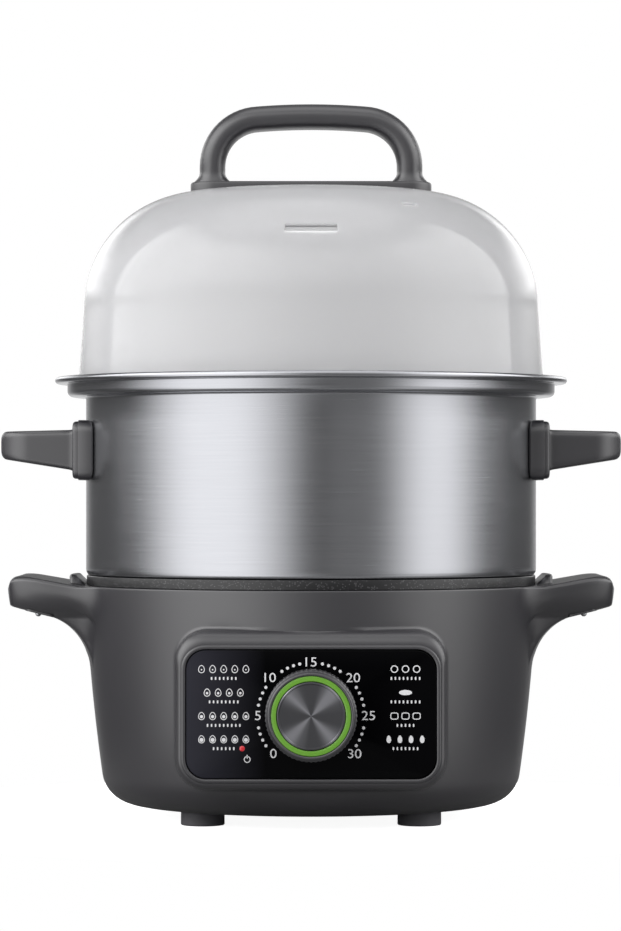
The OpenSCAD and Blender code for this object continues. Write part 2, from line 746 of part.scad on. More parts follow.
// Cover plate that follows the round underside, or the room for it with a gap all round
module ear_cover_plate(gap) {
  intersection() {
    rotate_extrude()
      polygon(ear_band(-ear_cover_in - ear_cover_l - gap, gap - ear_cover_in, -gap, ear_cover_t + gap));
    translate([0, -ear_cover_w / 2 - gap, 0]) cube([ear_tip_x, ear_cover_w + 2 * gap, ear_top]);
  }
}
ear_pocket = [ear_cover_l - 2 * ear_pocket_in, ear_cover_w - 2 * ear_pocket_in, ear_cover_t + ear_pocket_h];
module ear() {
  difference() {
    intersection() {
      rotate_extrude() polygon(ear_side);
      translate([0, 0, foot_h]) linear_extrude(base_h + 2 * ear_rise) polygon(ear_plan);
      along_y(-ear_root_w / 2, ear_root_w / 2) polygon(ear_brow);
    }
    ear_cover_plate(fit_gap);
    at_ear_cover() translate([ear_screw_u, 0, 0]) {
      difference() {
        translate([-ear_pocket[0] / 2, -ear_pocket[1] / 2, 0]) cube(ear_pocket);
        translate([0, 0, ear_cover_t + fit_gap]) cylinder(r = ear_boss_r, h = ear_pocket_h + past);
      }
      cylinder(r = ear_screw_shank + fit_gap / 2, h = ear_screw_l + ear_cover_t);
    }
  }
}
// Rib whose inner side is a ramp that guides the pot to the middle
rib_section = [
  [rib_in_r, base_top - rib_root], [rib_in_r + rib_w, base_top - rib_root],
  [rib_in_r + rib_w, base_top + rib_h], [rib_in_r + rib_w - rib_top_w, base_top + rib_h],
  [rib_in_r, base_top + rib_ramp_h]
];
module centring_rib() {
  intersection() {
    rotate_extrude() polygon(rib_section);
    translate([0, -rib_l / 2, 0]) cube([ear_tip_x, rib_l, base_top + rib_h + past]);
  }
}
housing_outside = concat(
  [[0, foot_h]],
  arc(corner_cr, corner_cz, base_corner_r, -90, -corner_end, 10),
  wall_points(wall_z0, base_top, 0),
  [[0, base_top]]);
inner_corner_r = base_corner_r - base_wall;
ledge_angle = asin((cover_ledge_top - corner_cz) / inner_corner_r);
housing_inside = concat(
  [[0, foot_h - past], [bottom_open_r, foot_h - past], [bottom_open_r, cover_top]],
  [[cover_ledge_r, cover_top], [cover_ledge_r, cover_ledge_top]],
  arc(corner_cr, corner_cz, inner_corner_r, ledge_angle, -corner_end, 6),
  wall_points(wall_z0, shield_top, base_wall, 6),
  [[shield_ledge_r, shield_top], [shield_ledge_r, shield_top + shield_ledge_t]],
  wall_points(shield_top + shield_ledge_t, base_top, base_wall, 6),
  [[wall_r(base_top) - base_wall, base_top + past], [0, base_top + past]]);

module base_housing() {
  color(plastic) difference() {
    union() {
      difference() {
        union() {
          rotate_extrude() polygon(housing_outside);
          along_y(-pod_face, -pod_back) translate([0, pod_z])
            polygon(rounded_rect(pod_w, pod_h, pod_corner_r));
        }
        rotate_extrude() polygon(housing_inside);
        along_y(-seat_back, past - pod_back) translate([0, pod_z])
          polygon(rounded_rect(pod_w - 2 * base_wall, pod_h - 2 * base_wall, pod_corner_r - base_wall));
      }
      y_rod(gland_boss_r, gland_inside, gland_face, 0, gland_z);
      around(cover_screw_count, cover_screw_ring_r)
        translate([0, 0, cover_top]) cylinder(r = cover_boss_r, h = cover_ledge_t + cover_boss_h);
    }
    along_y(-pod_face - past, -panel_back) translate([0, dial_z])
      polygon(rounded_rect(panel_w, panel_h, panel_corner_r));
    along_y(-pod_face, past - seat_back) translate([0, dial_z])
      polygon(rounded_rect(panel_w - 2 * panel_seat_w, panel_h - 2 * panel_seat_w, panel_corner_r));
    y_rod(gland_r + run_gap, gland_inside - past, gland_face + past, 0, gland_z);
    around(cover_screw_count, cover_screw_ring_r)
      translate([0, 0, foot_h]) cylinder(r = cover_screw_r + run_gap, h = cover_screw_l + cover_screw_end);
  }
}
// Side handle with its rib, set against the outside of the shell
module side_handle() {
  color(plastic) difference() {
    union() {
      ear();
      centring_rib();
    }
    rotate_extrude() polygon(housing_outside);
  }
}
module side_handle_left() mirror([1, 0, 0]) side_handle();
module side_handle_right() side_handle();
module ear_cover() {
  color(dark_plastic) difference() {
    ear_cover_plate(0);
    at_ear_cover() translate([ear_screw_u, 0, -past])
      cylinder(r = ear_screw_shank + fit_gap / 2, h = ear_cover_t + 2 * past);
  }
}
module handle_cover_left() mirror([1, 0, 0]) ear_cover();
module handle_cover_right() ear_cover();
module handle_cover_screws() {
  color(dark_plastic) for (side = [0, 1])
    mirror([side, 0, 0]) at_ear_cover() translate([ear_screw_u, 0, 0]) {
      translate([0, 0, -ear_screw_head]) cylinder(r = ear_screw_r, h = ear_screw_head);
      cylinder(r = ear_screw_shank, h = ear_screw_l);
    }
}

function foot_place(sx, sy) = [sx * foot_pitch / 2, sy * foot_pitch / 2];
module bottom_cover() {
  color(dark_plastic) difference() {
    translate([0, 0, foot_h]) cylinder(r = bottom_open_r - fit_gap, h = cover_t);
    for (sx = [-1, 1], sy = [-1, 1]) translate(concat(foot_place(sx, sy), [foot_h - past]))
      cylinder(r = foot_stem_r + run_gap, h = cover_t + 2 * past);
    around(cover_screw_count, cover_screw_ring_r) translate([0, 0, foot_h - past]) {
      cylinder(r = cover_screw_r + fit_gap, h = cover_t + 2 * past);
      cylinder(r = cover_head_r + fit_gap, h = cover_head_h + past);
    }
    around(vent_count, vent_ring_r) translate([-vent_l / 2, -vent_w / 2, foot_h - past])
      cube([vent_l, vent_w, cover_t + 2 * past]);
  }
}
module bottom_screws() {
  color(bright_metal) around(cover_screw_count, cover_screw_ring_r) translate([0, 0, foot_h]) {
    cylinder(r = cover_head_r, h = cover_head_h);
    cylinder(r = cover_screw_r, h = cover_screw_l);
  }
}
module foot(sx, sy) {
  color("#2f2e31") translate(foot_place(sx, sy)) {
    cylinder(r1 = foot_tip_r, r2 = foot_r, h = foot_h);
    cylinder(r = foot_stem_r, h = foot_h + cover_t);
  }
}
module foot_front_left() foot(-1, -1);
module foot_front_right() foot(1, -1);
module foot_rear_left() foot(-1, 1);
module foot_rear_right() foot(1, 1);

pan_section = concat(
  [[0, pan_under]],
  arc(pan_out_r - pan_corner_r, pan_under + pan_corner_r, pan_corner_r, -90, 0),
  [[pan_out_r, base_top], [pan_rim_r, base_top]],
  arc(pan_rim_r - pan_rim_round, pan_top - pan_rim_round, pan_rim_round, 0, 90, 5),
  arc(pan_in_r + pan_rim_round, pan_top - pan_rim_round, pan_rim_round, 90, 180, 5),
  arc(pan_in_r - pan_corner_r, pan_floor + pan_corner_r, pan_corner_r, 0, -90),
  [[0, pan_floor]]);
module cooking_pan() {
  color("#37363a") {
    rotate_extrude() polygon(pan_section);
    for (a = stud_angles) rotate(a) translate([stud_ring_r, 0, shield_under - nut_h - stud_end])
      cylinder(r = stud_r, h = pan_under - shield_under + nut_h + stud_end + pan_t / 2);
  }
}
module heating_element() {
  color(bright_metal) {
    rotate(90 + heater_gap / 2) rotate_extrude(angle = 360 - heater_gap)
      translate([heater_ring_r, pan_under - heater_tube_r - fit_gap / 2]) circle(r = heater_tube_r);
    for (s = [-1, 1]) translate([s * pin_x, pin_y, pin_end]) cylinder(r = pin_r, h = pin_l);
  }
}
module element_terminals() {
  color(brass) for (s = [-1, 1]) translate([s * pin_x, pin_y, pin_end - tab_l])
    translate([-tab_w / 2, -tab_t / 2, 0]) cube([tab_w, tab_t, tab_l]);
}
module heat_shield() {
  color(steel) difference() {
    translate([0, 0, shield_under]) cylinder(r = wall_r(shield_under) - base_wall - lift_gap, h = shield_t);
    translate([-base_top_r, -shield_front - base_top_r, 0]) cube([2 * base_top_r, base_top_r, base_top]);
    for (a = stud_angles) rotate(a) translate([stud_ring_r, 0, 0])
      cylinder(r = stud_r + fit_gap, h = base_top);
    for (s = [-1, 1]) translate([s * pin_x, pin_y, 0])
      cylinder(r = pin_r + lift_gap, h = base_top);
    cylinder(r = thermostat_r + lift_gap, h = base_top);
  }
}
module pan_nuts() {
  color(bright_metal) for (a = stud_angles) rotate(a) translate([stud_ring_r, 0, shield_under - nut_h])
    difference() {
      cylinder(r = nut_r, h = nut_h, $fn = 6);
      translate([0, 0, -past]) cylinder(r = stud_r + run_gap, h = nut_h + 2 * past);
    }
}
thermostat_h = 5;
thermostat_step = 1;
thermostat_base_h = 2;
thermostat_under = thermostat_h + thermostat_base_h;
blade = [0.8, 6, 8];
module thermostat() {
  color("#c9c4b6") translate([0, 0, pan_under - fit_gap / 2]) {
    translate([0, 0, -thermostat_h]) cylinder(r = thermostat_r, h = thermostat_h);
    translate([0, 0, -thermostat_under]) cylinder(r = thermostat_r - thermostat_step, h = thermostat_base_h);
    for (s = [-1, 1])
      translate([s * thermostat_r / 2 - blade[0] / 2, -blade[1] / 2, -thermostat_under - blade[2]])
        cube(blade);
  }
}
// The fuse lies on the heat shield, half way between the thermostat and the heating ring
fuse_x = -heater_ring_r / 2 - thermostat_r / 2;
module thermal_fuse() {
  color(steel) translate([fuse_x, fuse_l / 2, shield_top + fuse_r + fit_gap / 2])
    rotate([90, 0, 0]) cylinder(r = fuse_r, h = fuse_l);
}
terminal_count = 3;
terminal_pitch = 9;
terminal_hole_r = 2.5;
terminal_depth = 6;
terminal_screw_h = 5;
module terminal_places() {
  for (i = [0:terminal_count - 1])
    translate([(i - 1) * terminal_pitch, block_y, block_top - terminal_depth]) children();
}
module terminal_block() {
  color("#e6e3da") difference() {
    translate([-block_w / 2, block_y - block_d / 2, cover_top]) cube([block_w, block_d, block_h]);
    terminal_places() cylinder(r = terminal_hole_r, h = terminal_depth + past);
  }
}
module terminal_screws() {
  color(brass) terminal_places() cylinder(r = terminal_hole_r - fit_gap, h = terminal_screw_h);
}
module wiring() {
  color(copper_red) for (p = wire_routes) wire(p);
}
module cord_gland() {
  color(dark_plastic) difference() {
    union() {
      y_rod(gland_r, gland_back, gland_face, 0, gland_z);
      y_rod(gland_flange_r, gland_face, gland_face + gland_flange_t, 0, gland_z);
    }
    y_rod(gland_bore_r, gland_back - past, gland_face + gland_flange_t + past, 0, gland_z);
    y_rod(gland_inner_r, gland_back - past, gland_face + gland_step_in, 0, gland_z);
  }
}
module gland_nut() {
  color(dark_plastic) translate([0, gland_inside, gland_z]) rotate([90, 0, 0]) difference() {
    cylinder(r = gland_nut_r, h = gland_nut_t, $fn = 6);
    translate([0, 0, -past]) cylinder(r = gland_r + run_gap, h = gland_nut_t + 2 * past);
  }
}

module control_panel() {
  color("#0c0c0e") difference() {
    along_y(-pod_face, -panel_back) translate([0, dial_z])
      polygon(rounded_rect(panel_w - 2 * fit_gap, panel_h - 2 * fit_gap, panel_corner_r - fit_gap));
    y_rod(bush_r + fit_gap, -pod_face - past, past - panel_back, 0, dial_z);
    y_rod(light_r + fit_gap / 2, -pod_face - past, past - panel_back, -light_x, light_z);
  }
}
light_flange_w = 1;
light_flange_t = 2.8;
light_proud = 0.2;
module power_light() {
  color("#c0202c") {
    y_rod(light_r, -pod_face - light_proud, light_flange_t - panel_back, -light_x, light_z);
    y_rod(light_r + light_flange_w, -panel_back, light_flange_t - panel_back, -light_x, light_z);
  }
}
module timer_plate(y0) {
  along_y(y0, y0 + timer_plate_t) translate([-timer_left, dial_z - timer_h / 2])
    square([timer_left + timer_right, timer_h]);
}
module arbor_hole(y0) {
  y_rod(arbor_r + run_gap, y0 - past, y0 + timer_plate_t + past, arbor_x, dial_z);
}
module timer_front_plate() {
  color(steel) difference() {
    union() {
      timer_plate(-plate_front);
      y_rod(bush_r, -pod_face, -plate_front, 0, dial_z);
      for (s = [-1, 1]) y_rod(timer_post_r, -panel_back, -plate_front, s * timer_post_x, dial_z);
    }
    y_rod(shaft_r + run_gap, -pod_face - past, past - plate_front_back, 0, dial_z);
    arbor_hole(-plate_front);
  }
}
module timer_back_plate() {
  color(steel) difference() {
    timer_plate(-plate_rear);
    y_rod(shaft_r + run_gap, -plate_rear - past, past - plate_rear_back, 0, dial_z);
    arbor_hole(-plate_rear);
  }
}
module timer_pillars() {
  color(brass) for (x = [pillar_in - timer_left, timer_right - pillar_in], s = [-1, 1])
    y_rod(pillar_r, -plate_front_back, -plate_rear, x, dial_z + s * (timer_h / 2 - pillar_in));
}
module timer_contacts() {
  color(brass) {
    for (z = [contact_z, contact_z + contact_block_h - contact_t])
      along_y(-cam_front, contact_w - cam_front)
        translate([contact_x, z]) square([contact_l + contact_block_w, contact_t]);
    along_y(-cam_front, -plate_rear)
      translate([contact_x, contact_z]) square([contact_block_w, contact_block_h]);
  }
}
module timer_bell() {
  color(steel) translate([bell_x, -plate_rear_back, dial_z]) rotate([-90, 0, 0]) {
    cylinder(r = bell_post_r, h = bell_d);
    difference() {
      cylinder(r1 = bell_r, r2 = bell_r - 2 * bell_t, h = bell_d);
      translate([0, 0, -past]) cylinder(r = bell_r - 3 * bell_t, h = bell_d - bell_t + past);
    }
  }
}

module timer_shaft() {
  color(bright_metal) y_rod(shaft_r, -shaft_front, -shaft_back, 0, dial_z);
}
module on_shaft(front, length) {
  difference() {
    along_y(-front, length - front) translate([0, dial_z]) children();
    y_rod(shaft_r + run_gap / 2, -front - past, length - front + past, 0, dial_z);
  }
}
module timer_wheel() {
  color(brass) on_shaft(wheel_front, wheel_t)
    polygon(gear_points(wheel_teeth, wheel_r, wheel_tooth_share));
}
module spring_drum() {
  color(steel) on_shaft(drum_front, drum_l) circle(r = drum_r);
}
module timer_cam() {
  color("#d9d3c4") on_shaft(cam_front, cam_t) difference() {
    circle(r = cam_r);
    translate([0, -cam_r]) circle(r = cam_notch);
  }
}
module knob_skirt() {
  color("#57565b") difference() {
    union() {
      along_y(knob_bevel - knob_front, -knob_back) translate([0, dial_z]) polygon(groove_points());
      translate([0, knob_bevel - knob_front, dial_z]) rotate([90, 0, 0])
        cylinder(r1 = knob_r - groove_d - knob_step, r2 = knob_r - knob_bevel, h = knob_bevel);
    }
    y_rod(ring_r + fit_gap / 2, -knob_front - past, -ring_seat, 0, dial_z);
    difference() {
      y_rod(knob_r - knob_wall, hub_floor_t - ring_seat, past - knob_back, 0, dial_z);
      y_rod(hub_r, -ring_seat, -knob_back, 0, dial_z);
    }
    y_rod(shaft_r + run_gap / 2, -shaft_front, past - knob_back, 0, dial_z);
  }
}
module knob_ring() {
  color("#5aa02c") difference() {
    y_rod(ring_r, ring_inset - knob_front, -ring_seat, 0, dial_z);
    y_rod(ring_r - ring_w, -knob_front, past - ring_seat, 0, dial_z);
  }
}
module knob_cap() {
  color("#77777b") difference() {
    y_rod(cap_r, -knob_front, -ring_seat, 0, dial_z);
    y_rod(cap_r - cap_lip, -knob_front - past, cap_dish_d - knob_front, 0, dial_z);
  }
}
module escape_arbor() {
  color(bright_metal)
    y_rod(arbor_r, -plate_front + arbor_end, -plate_rear_back - arbor_end, arbor_x, dial_z);
}
module on_arbor(front, length) {
  difference() {
    along_y(-front, length - front) translate([arbor_x, dial_z]) children();
    y_rod(arbor_r + run_gap / 2, -front - past, length - front + past, arbor_x, dial_z);
  }
}
module escape_pinion() {
  color(brass) on_arbor(wheel_front + pinion_over / 2, pinion_l)
    rotate(180 / pinion_teeth) polygon(gear_points(pinion_teeth, pinion_r, pinion_tooth_share));
}
module escape_wheel() {
  color(brass) on_arbor(escape_front, escape_t)
    polygon(rake_points(escape_teeth, escape_r, escape_tooth_d));
}

pot_section = concat(
  [[0, pan_top - nest_d], [nest_r, pan_top - nest_d], [nest_r, pan_top]],
  arc(pot_r - pot_corner_r, pan_top + pot_corner_r, pot_corner_r, -90, 0, 6),
  [[pot_r, step_z]],
  arc(step_r - pot_corner_r, step_z + pot_corner_r, pot_corner_r, -90, 0, 6),
  [[step_r, pot_top - rim_h]],
  arc(rim_r - rim_round, pot_top - rim_h + rim_round, rim_round, -90, 0, 5),
  arc(rim_r - rim_round, pot_top - rim_round, rim_round, 0, 90, 5),
  [[step_r, pot_top], [step_r - pot_t, pot_top - pot_t]],
  [[step_r - pot_t, step_top], [pot_r - pot_t, step_top]],
  arc(pot_r - pot_corner_r, pan_top + pot_corner_r, pot_corner_r - pot_t, 0, -90, 6),
  [[nest_r - pot_t, pan_top + pot_t], [nest_r - pot_t, pot_floor], [0, pot_floor]]);
module handle_screw_places() {
  for (side = [0, 1], s = [-1, 1])
    mirror([side, 0, 0]) translate([pot_r, 0, grip_z + s * handle_screw_pitch / 2])
      rotate([0, 90, 0]) children();
}
module steamer_pot() {
  color(steel) difference() {
    rotate_extrude() polygon(pot_section);
    for (ring = [0:steam_ring_count - 1])
      let (count = steam_holes_per_ring * (ring + 1), ring_r = steam_ring_first + ring * steam_ring_step)
      around(count, ring_r, steam_ring_turn * ring)
        translate([0, 0, pot_floor - pot_t - past])
          cylinder(r = steam_hole_r, h = pot_t + 2 * past, $fn = 24);
    handle_screw_places() translate([0, 0, -3 * pot_t]) cylinder(r = screw_r + fit_gap, h = 4 * pot_t);
  }
}
module steamer_handle() {
  color(plastic) translate([0, 0, grip_z]) difference() {
    union() {
      along_x(block_x0, grip_x0) polygon(rounded_rect(block_l, block_z, block_r));
      intersection() {
        along_y(-grip_root_w, grip_root_w) polygon(grip_side);
        translate([0, 0, -block_z]) linear_extrude(2 * block_z) polygon(grip_plan);
      }
    }
    translate([0, 0, -block_z]) cylinder(r = pot_r + fit_gap / 2, h = 2 * block_z);
    for (s = [-1, 1]) translate([pot_r - past, 0, s * handle_screw_pitch / 2]) rotate([0, 90, 0])
      cylinder(r = screw_r + run_gap, h = handle_screw_l + past + fit_gap);
  }
}
module steamer_handle_left() mirror([1, 0, 0]) steamer_handle();
module steamer_handle_right() steamer_handle();
module steamer_handle_screws() {
  color(bright_metal) handle_screw_places() {
    translate([0, 0, -pot_t - fit_gap / 2 - handle_screw_head_h])
      cylinder(r = handle_screw_head_r, h = handle_screw_head_h);
    translate([0, 0, -pot_t - fit_gap]) cylinder(r = screw_r, h = handle_screw_l + pot_t);
  }
}

module egg_rack() {
  color("#d8d7d9") {
    translate([0, 0, rack_top - rack_t]) difference() {
      cylinder(r = rack_r, h = rack_t);
      around(egg_count, egg_ring_r, 90) translate([0, 0, -past])
        cylinder(r = egg_hole_r, h = rack_t + 2 * past);
      translate([0, 0, -past]) cylinder(r = finger_hole_r, h = rack_t + 2 * past);
    }
    translate([0, 0, rack_top - rack_t - rack_bead_h]) tube(rack_r, rack_r - rack_bead_w, rack_bead_h);
    around(leg_count, leg_ring_r, 90) translate([0, 0, pot_floor])
      cylinder(r = leg_r, h = rack_h - rack_t / 2);
  }
}

lid_section = concat(
  [[lid_base_r - lid_t, step_top], [lid_foot_r, step_top], [lid_foot_r, step_top + lid_foot_h]],
  [[lid_base_r, step_top + lid_foot_h]],
  dome_points(0),
  [for (i = [len(dome_points(lid_t)) - 1:-1:0]) dome_points(lid_t)[i]]);
module lid_dome() {
  color("#dddce0", 0.6) difference() {
    rotate_extrude() polygon(lid_section);
    translate([-slot_w / 2, -lid_base_r, slot_mid - slot_h / 2])
      cube([slot_w, lid_base_r - lid_shoulder_c, slot_h]);
    rotate(vent_slit_turn) translate([vent_slit_r - vent_slit[0] / 2, -vent_slit[1] / 2, shoulder_z])
      cube(concat(vent_slit, [lid_corner_r + past]));
    for (s = [-1, 1]) translate([s * handle_screw_x, 0, shoulder_z])
      cylinder(r = screw_r + fit_gap, h = lid_apex - shoulder_z + past);
  }
}
module lid_handle() {
  color(plastic) difference() {
    union() {
      along_y(-arch_d / 2, arch_d / 2)
        polygon(concat(arch_outline, [[-arch_x, lid_apex - strip_h], [arch_x, lid_apex - strip_h]]));
      translate([0, 0, lid_apex - strip_h]) linear_extrude(2 * strip_h)
        polygon(rounded_rect(2 * strip_x, strip_d, strip_d / 2 - strip_end_in));
    }
    along_y(-strip_d, strip_d) polygon(concat(arch_gap, [[-arch_in_x, strip_top], [arch_in_x, strip_top]]));
    rotate_extrude() polygon(concat([[0, shoulder_z]], [for (p = dome_points(0)) p + [0, fit_gap / 2]]));
    for (s = [-1, 1]) translate([s * handle_screw_x, 0, shoulder_z])
      cylinder(r = screw_r + run_gap, h = crown_at_screw - shoulder_z + lid_screw_l - lid_t);
  }
}
module lid_handle_washers() {
  color("#c9c9cc") for (s = [-1, 1]) translate([s * handle_screw_x, 0, washer_top - washer_t])
    tube(washer_r, screw_r + fit_gap, washer_t);
}
module lid_handle_screws() {
  color(bright_metal) for (s = [-1, 1]) translate([s * handle_screw_x, 0, washer_top - washer_t]) {
    translate([0, 0, -lid_screw_head_h]) cylinder(r = lid_screw_head_r, h = lid_screw_head_h);
    cylinder(r = screw_r, h = lid_screw_l);
  }
}

base_housing();
side_handle_left();
side_handle_right();
handle_cover_left();
handle_cover_right();
handle_cover_screws();
bottom_cover();
bottom_screws();
foot_front_left();
foot_front_right();
foot_rear_left();
foot_rear_right();
cooking_pan();
heating_element();
element_terminals();
heat_shield();
pan_nuts();
thermostat();
thermal_fuse();
terminal_block();
terminal_screws();
wiring();
cord_gland();
gland_nut();
control_panel();
power_light();
timer_front_plate();
timer_back_plate();
timer_pillars();
timer_contacts();
timer_bell();
timer_shaft();
timer_wheel();
spring_drum();
timer_cam();
knob_skirt();
knob_ring();
knob_cap();
escape_arbor();
escape_pinion();
escape_wheel();
steamer_pot();
steamer_handle_left();
steamer_handle_right();
steamer_handle_screws();
egg_rack();
lid_dome();
lid_handle();
lid_handle_washers();
lid_handle_screws();
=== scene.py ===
"""Looks of the electric egg cooker: an add-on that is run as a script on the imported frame."""

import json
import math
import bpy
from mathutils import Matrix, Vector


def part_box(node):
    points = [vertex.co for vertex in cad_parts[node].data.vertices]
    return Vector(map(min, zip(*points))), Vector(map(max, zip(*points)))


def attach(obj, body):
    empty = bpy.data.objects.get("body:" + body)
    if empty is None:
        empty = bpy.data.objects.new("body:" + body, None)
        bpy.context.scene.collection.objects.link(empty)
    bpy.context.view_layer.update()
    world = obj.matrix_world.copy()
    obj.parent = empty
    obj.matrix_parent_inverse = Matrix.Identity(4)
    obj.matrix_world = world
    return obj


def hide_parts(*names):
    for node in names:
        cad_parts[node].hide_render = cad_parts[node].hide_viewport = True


bl_info = {
    "name": "Egg Cooker Looks",
    "version": (1, 0, 0),
    "blender": (4, 5, 0),
    "location": "View3D > Sidebar > Egg Cooker",
    "description": "Dresses the packed egg cooker with detailed surfaces, finishes and a studio",
    "category": "Object",
}

import bmesh
import bpy
import numpy as np
from bpy.props import FloatProperty, FloatVectorProperty, IntProperty, PointerProperty
from bpy.types import Operator, Panel, PropertyGroup

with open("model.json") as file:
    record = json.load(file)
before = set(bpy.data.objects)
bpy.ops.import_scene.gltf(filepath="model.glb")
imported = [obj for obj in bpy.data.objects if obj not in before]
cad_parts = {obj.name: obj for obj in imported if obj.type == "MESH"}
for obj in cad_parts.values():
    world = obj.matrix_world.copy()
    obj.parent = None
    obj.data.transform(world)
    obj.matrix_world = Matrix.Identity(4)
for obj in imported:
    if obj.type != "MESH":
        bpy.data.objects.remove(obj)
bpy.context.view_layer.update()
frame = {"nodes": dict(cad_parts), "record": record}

MM = 0.001
LOOK = "look_"
X, Y, Z = 0, 1, 2
SIDES = {1: "right", -1: "left"}
# Thickness of the cord gland's flange
FLANGE = 3 * MM


def low(node, axis):
    """Lowest coordinate of a CAD node along an axis."""
    return float(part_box(node)[0][axis])


def high(node, axis):
    """Highest coordinate of a CAD node along an axis."""
    return float(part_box(node)[1][axis])


def middle(node, axis):
    """Middle of a CAD node along an axis."""
    return (low(node, axis) + high(node, axis)) / 2


def span(node, axis):
    """Length of a CAD node along an axis."""
    return high(node, axis) - low(node, axis)


def show(name, data):
    """A new object in the scene."""
    made = bpy.data.objects.new(name, data)
    bpy.context.scene.collection.objects.link(made)
    return made


def length(mm, name, description):
    """A property that holds a length, given in millimetres."""
    return FloatProperty(name=name, description=description, default=mm * MM, unit="LENGTH", precision=5)


def turn(degrees, name, description):
    """A property that holds an angle."""
    return FloatProperty(name=name, description=description, default=math.radians(degrees), subtype="ANGLE")


def linear(rgb):
    """Linear colour of an 8-bit screen colour."""
    c = np.array(rgb, float) / 255
    return tuple(float(v) for v in np.where(c <= 0.04045, c / 12.92, ((c + 0.055) / 1.055) ** 2.4))


def tint(rgb, name, description):
    """A colour property with an 8-bit screen colour as its default."""
    return FloatVectorProperty(name=name, description=description, default=linear(rgb), size=3,
                               subtype="COLOR", min=0, max=1)


# Sizes and colours that a user may change

class HousingSizes(PropertyGroup):
    """Sizes of the base's shell, its side handles and its feet."""
    rib_h: length(4.6, "Rib height", "Height of the centring ribs above the rim")
    rim_r: length(high("cooking_pan", X) / MM + 0.7, "Rim radius", "Outer radius at the top edge")
    bottom_r: length(87.9, "Bottom radius", "Outer radius where the wall meets the bottom corner")
    bulge: length(1.0, "Bulge", "Swell of the wall at mid height")
    corner_r: length(14.0, "Corner", "Radius of the bottom corner")
    wall: length(2.6, "Wall", "Thickness of the moulded wall")
    opening_r: length(72.05, "Bottom opening", "Radius of the opening for the bottom cover")
    ear_rise: length(4.3, "Handle rise", "Rise of a side handle's top above the rim")
    ear_tip_h: length(13.1, "Handle tip", "Height of a side handle's tip")
    ear_slope: turn(14.0, "Handle slope", "Slope of a side handle's underside")
    ear_fillet: length(24.0, "Handle fillet", "Radius between the underside and the wall")
    ear_root_w: length(76.0, "Handle root", "Width of a side handle inside the wall")
    ear_tip_w: length(62.0, "Handle tip width", "Width of a side handle at its tip")
    ear_edge_r: length(7.0, "Handle edge", "Radius of the upper edge at a side handle's tip")
    ear_brow_r: length(1.3, "Handle brow", "Radius of the upper edge along a side handle's flanks")
    ear_peak_in: length(8.6, "Handle peak", "Distance of a side handle's highest line from its tip")
    ear_belly: length(9.5, "Handle belly", "How far a handle's flanks draw in towards its underside")
    rib_l: length(36.0, "Rib length", "Length of a centring rib along the rim")
    foot_tip_r: length(9.0, "Foot tip", "Radius of a foot at the floor")


class PanelSizes(PropertyGroup):
    """Sizes of the pod, its panel and the dial."""
    pod_side: length(2.2, "Pod sides", "Width of the pod's shoulder beside the bezel")
    pod_top: length(5.4, "Pod top", "Width of the pod's shoulder above the bezel")
    pod_under: length(3.0, "Pod underside", "Width of the pod's shoulder under the bezel")
    pod_roll: length(4.6, "Pod shoulder", "Depth of that shoulder")
    pod_fillet: length(1.8, "Pod fillet", "Radius of the fillet round the foot of the pod")
    panel_r: length(8.0, "Panel corner", "Radius of the panel's corners")
    bezel_w: length(1.8, "Bezel width", "Width of the raised lip round the panel")
    bezel_h: length(0.6, "Bezel height", "Height of that lip above the pod's face")
    figure_h: length(3.65, "Figure height", "Height of the dial's figures")
    dial_drop: length(0.9, "Dial drop", "How far the dial's middle lies under the knob's axis")
    dot_r: length(0.63, "Dot radius", "Radius of a dial dot")
    dot_ring: length(21.3, "Dot ring", "Radius of the ring of dial dots")
    grooves: IntProperty(name="Grooves", description="Grip grooves round the knob", default=60, min=12)
    groove_d: length(0.25, "Groove depth", "Depth of a grip groove")
    knob_bevel: length(1.5, "Knob bevel", "Width of the bevel round the knob's front")


class PotSizes(PropertyGroup):
    """Sizes of the pan, the steamer pot and the egg rack."""
    sheet: length(1.0, "Sheet", "Thickness of the pot's sheet")
    over: length(0.3, "Overhang", "How far the pot's wall stands out over the pan's rim")
    step_w: length(7.8, "Step width", "Width of the step that the lid stands on")
    step_h: length(8.2, "Step height", "Height of the pot above that step")
    rim_h: length(2.7, "Rim height", "Height of the rolled rim")
    block_out: length(4.2, "Block", "How far a handle's mounting block stands out of the pot")
    nest_d: length(3.0, "Nest depth", "How deep the pot's floor drops into the pan")
    nest_r: length(83.4, "Nest radius", "Outer radius of the part that drops into the pan")
    steam_hole_r: length(2.0, "Steam hole", "Radius of a steam hole")
    pan_t: length(2.0, "Pan thickness", "Thickness of the pan")
    pan_in_r: length(84.5, "Pan inside", "Radius of the pan's inside")
    pan_depth: length(30.0, "Pan depth", "Depth of the pan")
    egg_r: length(17.5, "Egg hole", "Radius of an egg hole")
    egg_ring: length(59.0, "Egg ring", "Radius of the ring of egg holes")
    finger_r: length(13.0, "Finger hole", "Radius of the rack's finger hole")


